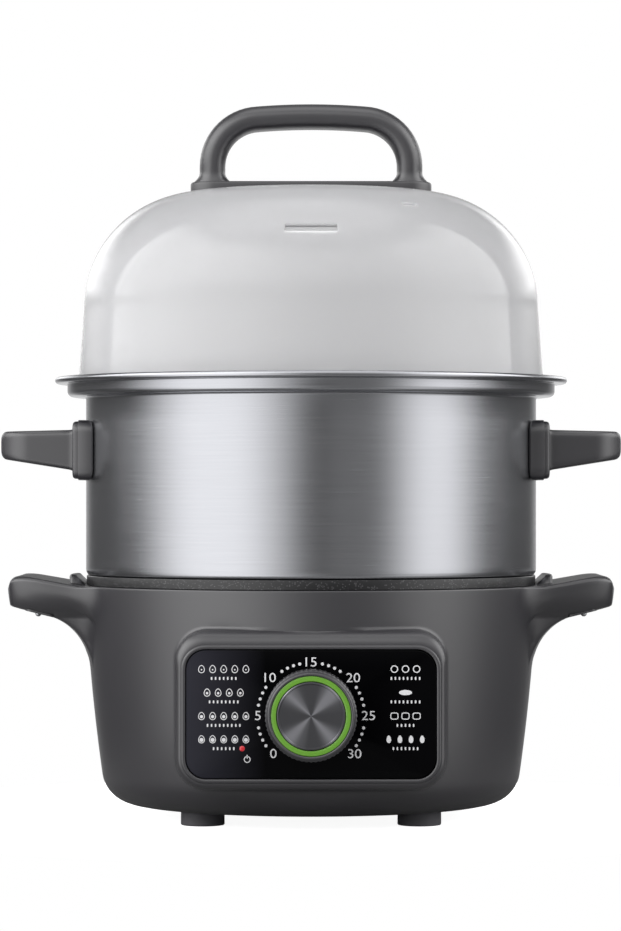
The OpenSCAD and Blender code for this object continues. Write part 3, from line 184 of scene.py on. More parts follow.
class LidSizes(PropertyGroup):
    """Sizes of the dome and its handle."""
    thickness: length(2.0, "Dome thickness", "Thickness of the dome")
    flange_w: length(2.8, "Flange", "Width of the flange that stands in the pot")
    draft: length(2.45, "Draft", "How far the wall leans in from flange to shoulder")
    wall_h: length(36.5, "Wall height", "Height of the shoulder's start above the dome's foot")
    shoulder_r: length(48.4, "Shoulder", "Radius of the shoulder")
    crown_r: length(600.0, "Crown", "Radius of the crown")
    slot_w: length(21.0, "Slot width", "Width of the vent slot")
    slot_h: length(3.0, "Slot height", "Height of the vent slot")
    slot_up: length(28.3, "Slot place", "Height of the slot above the shoulder's start")
    slit_r: length(75.7, "Slit place", "Distance of the small vent slit from the axis")
    slit_turn: turn(-58.2, "Slit angle", "Direction of the small vent slit")
    arch_x: length(47.0, "Arch half length", "Half length of the arch, outside")
    arch_leg: length(10.8, "Arch leg", "Width of the arch's legs")
    arch_bar: length(10.5, "Arch bar", "Thickness of the arch's bar")
    arch_r: length(25.5, "Arch corner", "Outer radius of the arch's corners")
    arch_d: length(19.0, "Arch depth", "Depth of the arch from front to back")
    arch_crown: length(0.9, "Arch crown", "Rise of the bar at its middle")
    strip_h: length(2.6, "Strip height", "Height of the strip above the crown")


class Colours(PropertyGroup):
    """Base colours of the finishes."""
    grey: tint((38, 37, 41), "Grey plastic", "Housing and handles")
    dark: tint((44, 43, 46), "Dark plastic", "Covers and gland")
    rubber: tint((80, 79, 84), "Rubber", "Feet")
    pan: tint((14, 14, 16), "Pan coating", "Non-stick coating")
    speck: tint((128, 127, 130), "Pan specks", "Light specks in the coating")
    steel: tint((172, 173, 177), "Pot steel", "Brushed pot")
    dome: tint((210, 210, 214), "Dome", "Milky lid")
    panel: tint((3, 3, 4), "Panel", "Glossy control panel")
    ring: tint((96, 150, 44), "Knob ring", "Coloured ring of the knob")
    cap: tint((150, 150, 155), "Knob cap", "Spun cap of the knob")
    light: tint((196, 36, 46), "Power light", "Lens of the power light")
    marks: tint((214, 214, 216), "Marks", "Figures and dots of the dial")


# Shapes made of whole arrays of points

def arc(centre, radius, start, stop, count):
    """Points on a circle from angle start to angle stop, in degrees."""
    a = np.radians(np.linspace(start, stop, count))
    return np.stack([centre[0] + radius * np.cos(a), centre[1] + radius * np.sin(a)], 1)


def rounded_rect(width, height, radius, arc_steps=10, side_steps=16):
    """Closed outline of a rectangle with round corners: four straight runs, each with a quarter circle."""
    w, h = width / 2 - radius, height / 2 - radius
    corners = [(w, h, 0), (-w, h, 90), (-w, -h, 180), (w, -h, 270)]
    t = np.linspace(0, 1, side_steps, endpoint=False)[:, None]
    runs = []
    for i, (cx, cy, a) in enumerate(corners):
        start = arc(corners[i - 1][:2], radius, corners[i - 1][2] + 90, 0, 1)
        corner = arc((cx, cy), radius, a, a + 90, arc_steps + 1)
        runs += [start + (corner[0] - start) * t, corner[:-1]]
    return np.concatenate(runs)


def smooth_max(a, b, k):
    """Larger of two values with a parabolic blend of width k where they meet."""
    h = np.maximum(k - np.abs(a - b), 0) / k
    return np.maximum(a, b) + h * h * k / 4


def smooth_min(a, b, k):
    """Smaller of two values with a parabolic blend of width k where they meet."""
    return -smooth_max(-a, -b, k)


def smooth_step(t):
    """Cubic ramp from 0 to 1."""
    t = np.clip(t, 0, 1)
    return t * t * (3 - 2 * t)


def revolve(profile, angles, swell=0.0):
    """Grid of (radius, height) rows turned about z, to a count of even angles or to given ones; swell is
    added to the radius."""
    a = angles if np.ndim(angles) else np.linspace(0, 2 * np.pi, angles, endpoint=False)
    r = profile[:, :1] + swell + 0 * a
    return np.stack([r * np.cos(a), r * np.sin(a), profile[:, 1:] + 0 * a], 2)


def face_front(points, height):
    """Turns a grid about z into one about a horizontal axis: its +z looks along -y at the given height."""
    return np.stack([points[..., 0], -points[..., 2], points[..., 1] + height], -1)


def face_back(points, height):
    """The same with its +z along +y."""
    return np.stack([-points[..., 0], points[..., 2], points[..., 1] + height], -1)


def standing(outline, depth):
    """Outline of x and z, stood up at a depth or at one depth for each point."""
    return np.stack([outline[:, 0], depth + 0 * outline[:, 0], outline[:, 1]], 1)


def disc(radius, centre, steps=24, squash=1.0):
    """Round or oval outline."""
    a = np.linspace(0, 2 * np.pi, steps, endpoint=False)
    return np.stack([centre[0] + radius * np.cos(a), centre[1] + squash * radius * np.sin(a)], 1)


def eased(edge, steps=5):
    """Inset and drop of the rings of a quarter round edge, from its side to its top."""
    return [(edge * (1 - math.cos(t)), edge * (1 - math.sin(t))) for t in np.linspace(0, np.pi / 2, steps)]


def solid_of(curve):
    """Points and faces of a filled and extruded curve, which is then removed."""
    holder = show(curve.name, curve)
    bpy.context.view_layer.update()
    mesh = bpy.data.meshes.new_from_object(holder.evaluated_get(bpy.context.evaluated_depsgraph_get()))
    flat = np.empty(len(mesh.vertices) * 3)
    mesh.vertices.foreach_get("co", flat)
    faces = [list(face.vertices) for face in mesh.polygons]
    bpy.data.objects.remove(holder)
    bpy.data.curves.remove(curve)
    bpy.data.meshes.remove(mesh)
    return flat.reshape(-1, 3), faces


class Skin:
    """Collects grids of points into one closed mesh."""

    def __init__(self):
        self.points, self.faces, self.count = [], [], 0

    def add(self, points):
        """Adds points and returns their numbers in the same layout."""
        points = np.asarray(points, float)
        index = np.arange(points[..., 0].size).reshape(points.shape[:-1]) + self.count
        self.points.append(points.reshape(-1, 3))
        self.count += index.size
        return index

    def sheet(self, index, wrap_rows=False, wrap_columns=True, keep=None):
        """Adds the quads between the rows and columns of a grid, all of them or those that keep marks."""
        i = np.concatenate([index, index[:1]]) if wrap_rows else index
        i = np.concatenate([i, i[:, :1]], 1) if wrap_columns else i
        quads = np.stack([i[:-1, :-1], i[:-1, 1:], i[1:, 1:], i[1:, :-1]], -1)
        self.faces += (quads.reshape(-1, 4) if keep is None else quads[keep]).tolist()

    def fan(self, ring, centre):
        """Closes a ring of points with triangles round a centre."""
        c = self.add(np.reshape(centre, (1, 3)))
        self.faces += np.stack([ring, np.roll(ring, -1), np.broadcast_to(c, ring.shape)], 1).tolist()

    def tube(self, points, first=True, last=True):
        """Adds a grid whose rows are closed rings, with its first and last rings closed by fans."""
        index = self.add(points)
        self.sheet(index)
        for end, wanted in ((0, first), (-1, last)):
            if wanted:
                self.fan(index[end], points[end].mean(0))
        return self

    def loop(self, points):
        """Adds a grid that closes on itself both ways."""
        self.sheet(self.add(points), wrap_rows=True)
        return self

    def solid(self, points, faces):
        """Adds loose points and the faces between them."""
        start = int(self.add(points)[0])
        self.faces += [[v + start for v in face] for face in faces]
        return self

    def mesh(self, name):
        """A mesh of all the points and faces."""
        mesh = bpy.data.meshes.new(name)
        mesh.from_pydata(np.concatenate(self.points).tolist(), [], self.faces)
        return mesh

    def piece(self, name, body, slot, *nodes, look=None, sharp=32.0):
        """Makes the mesh an object that rides on a body, wears its slot's look and stands for CAD nodes."""
        mesh = self.mesh(name)
        bm = bmesh.new()
        bm.from_mesh(mesh)
        bmesh.ops.remove_doubles(bm, verts=bm.verts, dist=1e-7)
        bmesh.ops.recalc_face_normals(bm, faces=bm.faces)
        bm.to_mesh(mesh)
        bm.free()
        mesh.polygons.foreach_set("use_smooth", np.ones(len(mesh.polygons), bool))
        mesh.set_sharp_from_angle(angle=math.radians(sharp))
        mesh.materials.append(finish(look or slot))
        piece = show(name, mesh)
        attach(piece, body)
        if nodes:
            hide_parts(*nodes)


# Shader maths as Python sums

def both_ways(kind):
    """The plain and the reflected operator that add one Math node of a kind."""
    return lambda a, b: a.math(kind, a, b), lambda a, b: a.math(kind, b, a)


class Term:
    """A shader socket in a Python sum: each operator adds one Math node."""
    __add__, __radd__ = both_ways("ADD")
    __sub__, __rsub__ = both_ways("SUBTRACT")
    __mul__, __rmul__ = both_ways("MULTIPLY")
    __truediv__, __rtruediv__ = both_ways("DIVIDE")
    __pow__, __rpow__ = both_ways("POWER")

    def __init__(self, tree, socket):
        self.tree, self.socket = tree, socket

    def out(self, name):
        """Another output of the same node."""
        return Term(self.tree, self.socket.node.outputs[name])

    def math(self, operation, *values):
        """One Math node on these values."""
        node = self.tree.nodes.new("ShaderNodeMath")
        node.operation = operation
        for socket, value in zip(node.inputs, values):
            put(self.tree, socket, value)
        return Term(self.tree, node.outputs[0])

    def clamp(self):
        """Limits the value to 0 to 1."""
        return self.math("MINIMUM", self.math("MAXIMUM", self, 0.0), 1.0)


def put(tree, socket, value):
    """Links a Term to a socket, or sets the socket's own value."""
    if isinstance(value, Term):
        tree.links.new(value.socket, socket)
    elif socket.type == "RGBA" and len(value) == 3:
        socket.default_value = (*value, 1.0)
    else:
        socket.default_value = value


class Shader:
    """A node tree with one method that adds any node."""

    def __init__(self, owner):
        owner.use_nodes = True
        self.owner, self.tree = owner, owner.node_tree
        self.tree.nodes.clear()

    def node(self, kind, settings=None, inputs=None, output=0):
        """Adds a node: its settings first, then values or links for its sockets by name or number."""
        made = self.tree.nodes.new(kind)
        for key, value in (settings or {}).items():
            setattr(made, key, value)
        for key, value in (inputs or {}).items():
            put(self.tree, made.inputs[key], value)
        return Term(self.tree, made.outputs[output]) if len(made.outputs) else None

    def place(self, scale=(1, 1, 1), shift=(0, 0, 0)):
        """Object coordinates, shifted and then scaled."""
        spot = self.node("ShaderNodeTexCoord", output="Object")
        moved = self.node("ShaderNodeVectorMath", {"operation": "ADD"}, {0: spot, 1: shift})
        return self.node("ShaderNodeVectorMath", {"operation": "MULTIPLY"}, {0: moved, 1: scale})

    def spot(self, shift=(0, 0, 0)):
        """X of the shifted object coordinates, with Y and Z as its other outputs."""
        return self.node("ShaderNodeSeparateXYZ", None, {0: self.place((1, 1, 1), shift)})

    def ramp(self, value, start, stop):
        """Smooth step from 0 at start to 1 at stop."""
        return self.node("ShaderNodeMapRange", {"interpolation_type": "SMOOTHSTEP"},
                         {"Value": value, "From Min": start, "From Max": stop})

    def window(self, value, start, rise, fall, stop):
        """Smooth window: 0 at start, 1 from rise to fall, 0 at stop."""
        return self.ramp(value, start, rise) * (1 - self.ramp(value, fall, stop))

    def noise(self, vector, detail=2.0, rough=0.5):
        """Smooth noise of about unit grain."""
        return self.node("ShaderNodeTexNoise", None,
                         {"Vector": vector, "Scale": 1.0, "Detail": detail, "Roughness": rough})

    def mix(self, factor, first, second):
        """Blend of two colours."""
        return self.node("ShaderNodeMix", {"data_type": "RGBA"}, {0: factor, 6: first, 7: second}, output=2)

    def bump(self, height, strength, depth):
        """Normal of a height field that is depth metres tall."""
        return self.node("ShaderNodeBump", None, {"Height": height, "Strength": strength, "Distance": depth})

    def surface(self, **inputs):
        """Principled surface; underscores in the names stand for spaces."""
        named = {key.replace("_", " "): value for key, value in inputs.items()}
        skin = self.node("ShaderNodeBsdfPrincipled", None, named)
        self.node("ShaderNodeOutputMaterial", None, {"Surface": skin})


def scaled(colour, factor):
    """A colour made lighter or darker."""
    return tuple(min(factor * c, 1) for c in colour)


def moulded(name, colour, rough=0.38, grain=0.10):
    """Moulded plastic: a fine spark-eroded grain and slow clouds in its colour."""
    s = Shader(bpy.data.materials.new(LOOK + name))
    fine = s.noise(s.place((2400,) * 3), 3.0)
    slow = s.noise(s.place((45,) * 3), 2.0)
    shade = s.mix(slow, scaled(colour, 0.93), scaled(colour, 1.07))
    s.surface(Base_Color=shade, Roughness=rough + (fine - 0.5) * 0.14, Specular_IOR_Level=1.0,
              Normal=s.bump(fine, grain, 0.06 * MM))


def brushed_steel(colour):
    """Sheet steel brushed round the axis: streaks that are long across and thin in height."""
    s = Shader(bpy.data.materials.new(LOOK + "pot_steel"))
    thin = s.noise(s.place((18, 18, 5200)), 3.0, 0.6)
    broad = s.noise(s.place((40, 40, 1300)), 2.0)
    cloud = s.noise(s.place((30, 30, 24)), 2.0)
    streak = thin * 0.65 + broad * 0.35
    shade = s.mix(streak, scaled(colour, 0.84), colour)
    rough = 0.2 + streak * 0.1 + (cloud - 0.5) * 0.05
    s.surface(Base_Color=shade, Metallic=1.0, Roughness=rough, Normal=s.bump(streak, 0.1, 0.03 * MM))


def speckled(colour, speck):
    """Non-stick coating: dark, with a light fleck in some of the cells of a fine pattern."""
    s = Shader(bpy.data.materials.new(LOOK + "pan_coating"))
    cells = s.node("ShaderNodeTexVoronoi", None, {"Vector": s.place((1900,) * 3), "Scale": 1.0})
    pick = s.node("ShaderNodeSeparateColor", None, {0: cells.out("Color")})
    fleck = pick.math("GREATER_THAN", pick, 0.8) * cells.math("LESS_THAN", cells, 0.42)
    fine = s.noise(s.place((2600,) * 3), 2.0)
    s.surface(Base_Color=s.mix(fleck * 0.35, colour, speck), Roughness=0.28 + fine * 0.12,
              Normal=s.bump(fine, 0.12, 0.05 * MM))


def milky(colour):
    """Translucent lid: pale and glossy, with painted shade that greys it towards the crown and a faint
    painted glow.
    """
    s = Shader(bpy.data.materials.new(LOOK + "lid_plastic"))
    slow = s.noise(s.place((35,) * 3), 2.0)
    # Painted shade: the colour darkens from 205 mm up to the crown, holding back the light that falls on top
    crown = s.ramp(s.spot().out("Z"), 205 * MM, 265 * MM)
    shade = s.mix(crown + slow * 0.05, scaled(colour, 0.89), scaled(colour, 0.6))
    # Painted glow: a faint white emission brightens the whole dome, though it is no lamp
    s.surface(Base_Color=shade, Roughness=0.08 + (slow - 0.5) * 0.04, Alpha=0.96, IOR=1.5,
              Subsurface_Weight=1.0, Subsurface_Radius=(1.0, 1.0, 1.0), Subsurface_Scale=20 * MM,
              Specular_IOR_Level=0.35, Emission_Color=(1.0, 1.0, 1.0, 1.0), Emission_Strength=0.08)


def glossy_panel(colour):
    """Polished black acrylic with a trace of dust, and a painted reflection that greys it in an even ramp
    towards its left edge.
    """
    s = Shader(bpy.data.materials.new(LOOK + "panel_black"))
    dust = s.noise(s.place((900,) * 3), 3.0)
    sheen_start, sheen_run = -18 * MM, -32 * MM
    # Painted reflection: the colour greys from x = -18 mm towards the left edge, standing in for a mirrored
    # light card
    painted_sheen = ((s.spot() - sheen_start) / sheen_run).clamp()
    s.surface(Base_Color=s.mix(painted_sheen + dust * 0.01, colour, scaled(colour, 26)),
              Roughness=0.03 + dust * 0.03, Specular_IOR_Level=0.08)


def spun_metal(colour, height):
    """Spun cap: fine rings round the axis at the given height, crossed by bright and dark sectors of painted
    reflection.
    """
    s = Shader(bpy.data.materials.new(LOOK + "knob_metal"))
    x = s.spot((0, 0, -height))
    z = x.out("Z")
    angle = x.math("ARCTAN2", z, x)
    radius = (x * x + z * z) ** 0.5
    rings = s.noise(s.node("ShaderNodeCombineXYZ", None, {0: radius * 9000.0}), 2.0)
    spread = 1.6 / (radius + 0.4 * MM)
    wander = s.noise(s.node("ShaderNodeCombineXYZ", None, {0: x * spread, 1: z * spread}), 1.0)
    # Painted reflection: bright and dark wedges round the axis in the colour, standing in for spun metal's
    # highlight
    wave = angle.math("COSINE", angle * 4.0 + (wander - 0.5) * 2.5 + math.pi)
    painted_sectors = (0.5 + wave * 0.5) ** 2.4
    shade = s.mix(painted_sectors * 0.85 + rings * 0.15, scaled(colour, 0.2), colour)
    s.surface(Base_Color=shade, Metallic=0.9, Roughness=0.3 + rings * 0.12,
              Normal=s.bump(rings, 0.2, 0.03 * MM))


def plain(name, colour, rough, metal=0.0, coat=0.0, glow=0.0):
    """Even finish with a slow change of roughness."""
    s = Shader(bpy.data.materials.new(LOOK + name))
    slow = s.noise(s.place((160,) * 3), 3.0)
    shade = s.mix(slow, scaled(colour, 0.94), colour)
    s.surface(Base_Color=shade, Roughness=rough + (slow - 0.5) * 0.1, Metallic=metal, Coat_Weight=coat,
              Emission_Color=(*colour, 1.0), Emission_Strength=glow)


def make_finishes(c):
    """One material for each slot of the record, and one for printed marks."""
    moulded("grey_plastic", c.grey)
    moulded("dark_plastic", c.dark, 0.5)
    moulded("foot_rubber", c.rubber, 0.7, 0.2)
    speckled(c.pan, c.speck)
    brushed_steel(c.steel)
    milky(c.dome)
    glossy_panel(c.panel)
    plain("ring_green", c.ring, 0.28, coat=0.4)
    spun_metal(c.cap, dial_height())
    plain("light_red", c.light, 0.15, coat=0.6, glow=0.15)
    plain("pale_plastic", linear((214, 209, 196)), 0.5)
    plain("shield_aluminium", linear((205, 207, 210)), 0.35, 1.0)
    plain("zinc_steel", linear((176, 177, 180)), 0.3, 1.0)
    plain("brass", linear((202, 166, 84)), 0.28, 1.0)
    plain("wire_red", linear((150, 40, 36)), 0.45)
    plain("printed_marks", c.marks, 0.5)


def finish(slot):
    """The material of a slot."""
    return bpy.data.materials[LOOK + slot]


def dial_height():
    """Height of the knob's axis: the middle of the knob's cap."""
    return middle("knob_cap", Z)


# Base: shell, side handles, pod, ribs

def fold(phi):
    """Angle of a direction from the x axis, on either side of it."""
    return np.abs((phi + np.pi / 2) % np.pi - np.pi / 2)


class Base:
    """Derived sizes of the base's shell and the curves of its side handles."""
    # Inset of the tip's lower edge, ends of the flanks' taper inside the rim and the tip, widths of blends
    undercut = 1.6 * MM
    taper_start, taper_stop = 30 * MM, 18 * MM
    tip_blend, root_blend, top_blend = 14 * MM, 12 * MM, 0.6 * MM

    def __init__(self, s):
        self.s = s
        self.bottom, self.rim_z = low("base_housing", Z), high("base_housing", Z)
        rise = math.atan((s.rim_r - s.bottom_r + 4 * s.bulge) / (self.rim_z - self.bottom - s.corner_r))
        self.corner_turn = math.degrees(rise)
        self.corner_x, self.corner_z = s.bottom_r - s.corner_r * math.cos(rise), self.bottom + s.corner_r
        self.wall_z = self.corner_z - s.corner_r * math.sin(rise)
        self.ear_tip = high("side_handle_right", X)
        self.peak = self.ear_tip - s.rim_r - s.ear_peak_in
        self.low_x, self.low_z = self.ear_tip - self.undercut, self.rim_z + s.ear_rise - s.ear_tip_h
        self.slope = s.ear_slope
        self.fillet_x = self.wall(self.rim_z - (self.rim_z - self.bottom) / 3) + s.ear_fillet
        line_x = self.fillet_x - s.ear_fillet * math.sin(self.slope)
        self.line_z = self.low_z - (self.low_x - line_x) * math.tan(self.slope)
        self.fillet_z = self.line_z - s.ear_fillet * math.cos(self.slope)

    def wall(self, z):
        """Outer radius at a height: a flare with a parabolic swell, and a quarter round below it."""
        s = self.s
        t = (z - self.wall_z) / (self.rim_z - self.wall_z)
        flare = s.bottom_r + (s.rim_r - s.bottom_r) * t + 4 * s.bulge * t * (1 - t)
        drop = np.clip(self.corner_z - z, 0, s.corner_r)
        return np.where(z < self.wall_z, self.corner_x + np.sqrt(s.corner_r ** 2 - drop ** 2), flare)

    def under(self, z):
        """How far a side handle's underside lies outside the wall at a height: a fillet, then a slope."""
        fillet = self.s.ear_fillet
        drop = np.clip(z - self.fillet_z, 0, fillet)
        round_x = self.fillet_x - np.sqrt(fillet ** 2 - drop ** 2)
        line_x = self.low_x + (z - self.low_z) / math.tan(self.slope)
        return np.where(z < self.line_z, round_x, line_x) - self.wall(z)

    def plan(self, phi, inset, tip_inset, soft=0.0):
        """Reach of a side handle beyond the rim at each angle: a tapered block, rounded at tip and root."""
        s = self.s
        a = fold(phi)
        root = s.rim_r - self.taper_start
        lean = (s.ear_root_w - s.ear_tip_w) / 2 / (self.ear_tip - self.taper_stop - root)
        half = s.ear_root_w / 2 + lean * root
        side = (half - inset * math.hypot(1, lean)) / (np.sin(a) + lean * np.cos(a))
        reach = smooth_min(side, self.ear_tip - tip_inset, self.tip_blend + soft)
        return np.maximum(smooth_max(reach, s.rim_r, self.root_blend) - s.rim_r, 0)

    def top(self, e, phi):
        """Height of a side handle's top: a straight rise along x from the rim to the peak, then level."""
        s = self.s
        x = (s.rim_r + e) * np.abs(np.cos(phi)) - s.rim_r
        return self.rim_z + np.maximum(smooth_min(x * s.ear_rise / self.peak, s.ear_rise, self.top_blend), 0)

    def belly(self, phi, z, brow):
        """Inset of a side handle's flank: none at the brow, and an elliptic curve under to the underside."""
        s = self.s
        start, bend, tail, growth, most = 0.03, 0.9, 0.5, 1.4, 12 * MM
        x = self.plan(phi, 0.0, 0.0) + s.rim_r
        drop = np.clip(self.fillet_x - x, s.ear_fillet * math.sin(self.slope), s.ear_fillet)
        line = self.low_z + (x - self.low_x) * math.tan(self.slope)
        height = brow - np.minimum(self.fillet_z + np.sqrt(s.ear_fillet ** 2 - drop ** 2), line)
        t = np.clip(((brow - z) / height - start) / (1 - start), 0, 3)
        bow = 1 - np.sqrt(1 - bend * np.minimum(t, 1) ** 2) + tail * np.maximum(t - 1, 0)
        return np.minimum(s.ear_belly * np.minimum(height / s.ear_tip_h, growth) * bow, most)


def housing_grid(b):
    """Rows from the bottom opening up the wall, round the handles and over the rim; columns at angles."""
    s = b.s
    # Even columns, and finer ones where the handles' flanks leave the wall
    fine = np.radians(np.arange(9, 33, 0.4))
    even = np.radians(np.arange(0, 360, 1.5))
    phi = np.unique(np.round(np.concatenate([even, fine, np.pi - fine, np.pi + fine, 2 * np.pi - fine]), 6))
    across = np.degrees(fold(phi))
    reach = b.plan(phi, 0.0, 0.0)
    rim_edge, bead, skirt, inside = 0.6 * MM, 0.4 * MM, 2.5 * MM, 6 * MM
    # Radius of the upper edge: large at a handle's tip, smaller along its flanks, smallest at the rim
    edge = s.ear_brow_r + (s.ear_edge_r - s.ear_brow_r) * (1 - smooth_step((across - 6) / 9))
    edge = rim_edge + (edge - rim_edge) * np.clip(reach / (8 * MM), 0, 1)
    brow = b.top(b.plan(phi, edge, edge), phi)
    start = [[s.opening_r, b.bottom + skirt], [s.opening_r, b.bottom + bead], [s.opening_r + bead, b.bottom]]
    corner = arc((b.corner_x, b.corner_z), s.corner_r, -90, -b.corner_turn, 12)
    zs = np.linspace(b.wall_z, b.fillet_z, 22)[1:]
    foot = np.concatenate([start, corner, np.stack([b.wall(zs), zs], 1)])
    rows = [(foot[:, :1] + 0 * phi, foot[:, 1:] + 0 * phi)]
    # Undersides and flanks of the handles, softer towards the roots
    soft = (2.4 + 6.0 * smooth_step((across - 12) / 10)) * MM
    blend = np.minimum(soft, 0.9 * reach) + 1e-6
    ears = np.linspace(b.fillet_z, b.low_z, 34)[1:, None] + 0 * phi
    tip = b.low_z + (brow - edge - b.low_z) * np.linspace(0, 1, 12)[1:, None]
    for z in (ears, tip):
        drawn = b.belly(phi, z, brow)
        fade = smooth_step((across - 12) / 12) * smooth_step((brow - z - 2 * MM) / (15 * MM))
        out = b.plan(phi, drawn, 0.2 * drawn, 2.5 * drawn) * (1 - fade)
        under = b.under(z) * smooth_step((z - b.fillet_z) / (8 * MM))
        rows.append((b.wall(z) + np.maximum(smooth_min(under, out, blend), 0), z))
    # Round upper edge, then the top and the inside of the rim
    a = np.linspace(0, np.pi / 2, 9)[1:, None]
    inset = edge * (1 - np.cos(a))
    rim = inset * (1 - smooth_step(reach / (3 * MM)))
    z = brow - edge * (1 - np.sin(a))
    rows.append((b.wall(np.minimum(z, b.rim_z)) + b.plan(phi, inset, inset) - rim, z))
    last = rows[-1][0][-1] - s.rim_r
    e = last + (-s.wall - last) * np.linspace(0, 1, 22)[1:, None]
    rows.append((s.rim_r + e, b.top(e, phi)))
    rows.append((s.rim_r - s.wall + 0 * phi[None], b.rim_z - inside + 0 * phi[None]))
    r, z = (np.concatenate(part) for part in zip(*rows))
    return np.stack([r * np.cos(phi), r * np.sin(phi), z], 2)


def pod_grid(b, p):
    """Rings from the panel's edge over the bezel, round a shoulder and down a flank with a filleted foot."""
    z0 = dial_height()
    gap, sink, lift, blend, skirt = 0.4 * MM, 0.1 * MM, 0.02 * MM, 0.8 * MM, 0.5 * MM
    face, back = -low("control_panel", Y), -high("control_panel", Y)
    w, h = span("control_panel", X) + gap, span("control_panel", Z) + gap
    lip = face + p.bezel_h
    rings, depths = [], []
    # Bezel, from the panel's back edge over the lip
    for out, depth in ((0, back), (0, face - sink), (0.15, face + p.bezel_h * 0.75), (0.45, lip), (1.2, lip),
                       (1.6, face + p.bezel_h * 0.6)):
        o = out * MM
        rings.append(rounded_rect(w + 2 * o, h + 2 * o, p.panel_r + o) + (0, z0))
        depths.append(depth + 0 * rings[-1][:, 0])
    w, h, r = w + 2 * p.bezel_w, h + 2 * p.bezel_w, p.panel_r + p.bezel_w

    def ring_at(share, out):
        """Adds an outline at a share of the shoulder's width, or outside it, and returns the wall's depth."""
        side, top, under = (v * share + out for v in (p.pod_side, p.pod_top, p.pod_under))
        ring = rounded_rect(w + 2 * side, h + top + under, r + side) + (0, z0 + (top - under) / 2)
        rings.append(ring)
        return np.sqrt(b.wall(ring[:, 1]) ** 2 - ring[:, 0] ** 2) + lift

    for t in np.radians(np.linspace(0, 90, 20)):
        body = ring_at(math.sin(t), 0.0)
        depths.append(smooth_max(face - sink - p.pod_roll * (1 - math.cos(t)), body, blend))
    heel = depths[-1]
    for inset, drop in eased(p.pod_fillet, 12):
        body = ring_at(1.0, inset)
        depths.append(np.minimum(body + drop, np.maximum(heel, body)))
    rings.append(rings[-1])
    depths.append(depths[-1] - skirt)
    return np.stack([standing(ring, -depth) for ring, depth in zip(rings, depths)])


def rib_grid(b, side):
    """Centring rib: a ramped fin carried round the rim, its ends sloped."""
    s = b.s
    r0, width, slope = s.rim_r + 0.6 * MM, 6, 3 * MM
    h = s.rib_h / MM
    section = np.array([(0, -1), (width, -1), (width - 0.1, h - 0.9), (width - 0.4, h - 0.25), (width - 1, h),
                        (4.2, h), (3.5, h - 0.2), (3.0, h - 0.7), (0.2, 1.2), (0, 0.8)]) * MM
    half = math.asin(s.rib_l / 2 / (r0 + width / 2 * MM))
    a = np.linspace(-half, half, 26)
    near = np.clip((np.abs(a) - half) * r0 / slope + 1, 0, 1)
    r = r0 + section[:, :1] + 0 * a
    z = b.rim_z + section[:, 1:] * np.sqrt(1 - 0.92 * near ** 2)
    return np.stack([side * r * np.cos(a), side * r * np.sin(a), z], 2).transpose(1, 0, 2)


def build_housing(s, p):
    """Shell of the base in one piece: wall, side handles, pod, ribs and the boss behind the gland."""
    b = Base(s)
    skin = Skin()
    skin.sheet(skin.add(housing_grid(b)))
    skin.sheet(skin.add(pod_grid(b, p)))
    for side in SIDES:
        skin.tube(rib_grid(b, side))
    face = high("cord_gland", Y) - FLANGE
    boss = np.array([(10.6, -14), (10.2, -1.2), (9.9, -0.3), (9.5, 0)]) * MM + (0, face)
    skin.tube(face_back(revolve(boss, 48), middle("cord_gland", Z)), first=False)
    skin.piece("housing_shell", "base", "grey_plastic", "base_housing",
               "side_handle_left", "side_handle_right", sharp=40.0)


def build_handle_covers(s):
    """Cover plate under each side handle: a rounded plate bent round the axis, just proud of it."""
    b = Base(s)
    width, depth, corner, back, hairline = 12, 46, 2, 11.5, 0.02
    rows = []
    for inset, rise in ((0, 0.8), (0, 0.05), (0.12, -0.08), (0.35, -0.15)):
        o = rounded_rect(width - 2 * inset, depth - 2 * inset, corner - inset, 6, 12) * MM
        u, y = o[:, 0] - back * MM, o[:, 1]
        r = b.low_x + u * math.cos(b.slope) - rise * MM * math.sin(b.slope)
        z = b.low_z + u * math.sin(b.slope) + rise * MM * math.cos(b.slope)
        rows.append(np.stack([np.sqrt(r * r - y * y), y, z], 1))
    grid = np.stack(rows)
    for side, name in SIDES.items():
        skin = Skin()
        index = skin.add(grid * (side, 1, 1))
        skin.sheet(index)
        # Each flat face runs to a spine midway between its long edges, where a hairline stays open
        for end in (0, -1):
            x, y, z = grid[end].T
            r = np.hypot(x, y).mean()
            spine = np.stack([np.sqrt(r * r - y * y), y, hairline * z + (1 - hairline) * z.mean()], 1)
            skin.sheet(np.stack([index[end], skin.add(spine * (side, 1, 1))]))
        skin.piece(f"cover_{name}", "base", "grey_plastic", f"handle_cover_{name}")


def build_cover_screws(s):
    """Round screw heads under the two handle covers, in one piece."""
    b = Base(s)
    radius, proud, root, back = 1.3 * MM, 0.6 * MM, -1.5 * MM, 11.5 * MM
    out = np.array([math.sin(b.slope), 0, -math.cos(b.slope)])
    along = np.array([math.cos(b.slope), 0, math.sin(b.slope)])
    spot = np.array([b.low_x, 0, b.low_z]) - along * back
    head = np.concatenate([[[0.5 * MM, root], [radius, root]], arc((0, proud), radius, 0, 85, 8)])
    grid = revolve(head, 32)
    points = spot + grid[..., :1] * along + grid[..., 1:2] * (0, 1, 0) + grid[..., 2:] * out
    skin = Skin()
    for side in SIDES:
        skin.tube(points * (side, 1, 1))
    skin.piece("cover_screws", "base", "zinc_steel", "handle_cover_screws")


# Panel, dial and knob

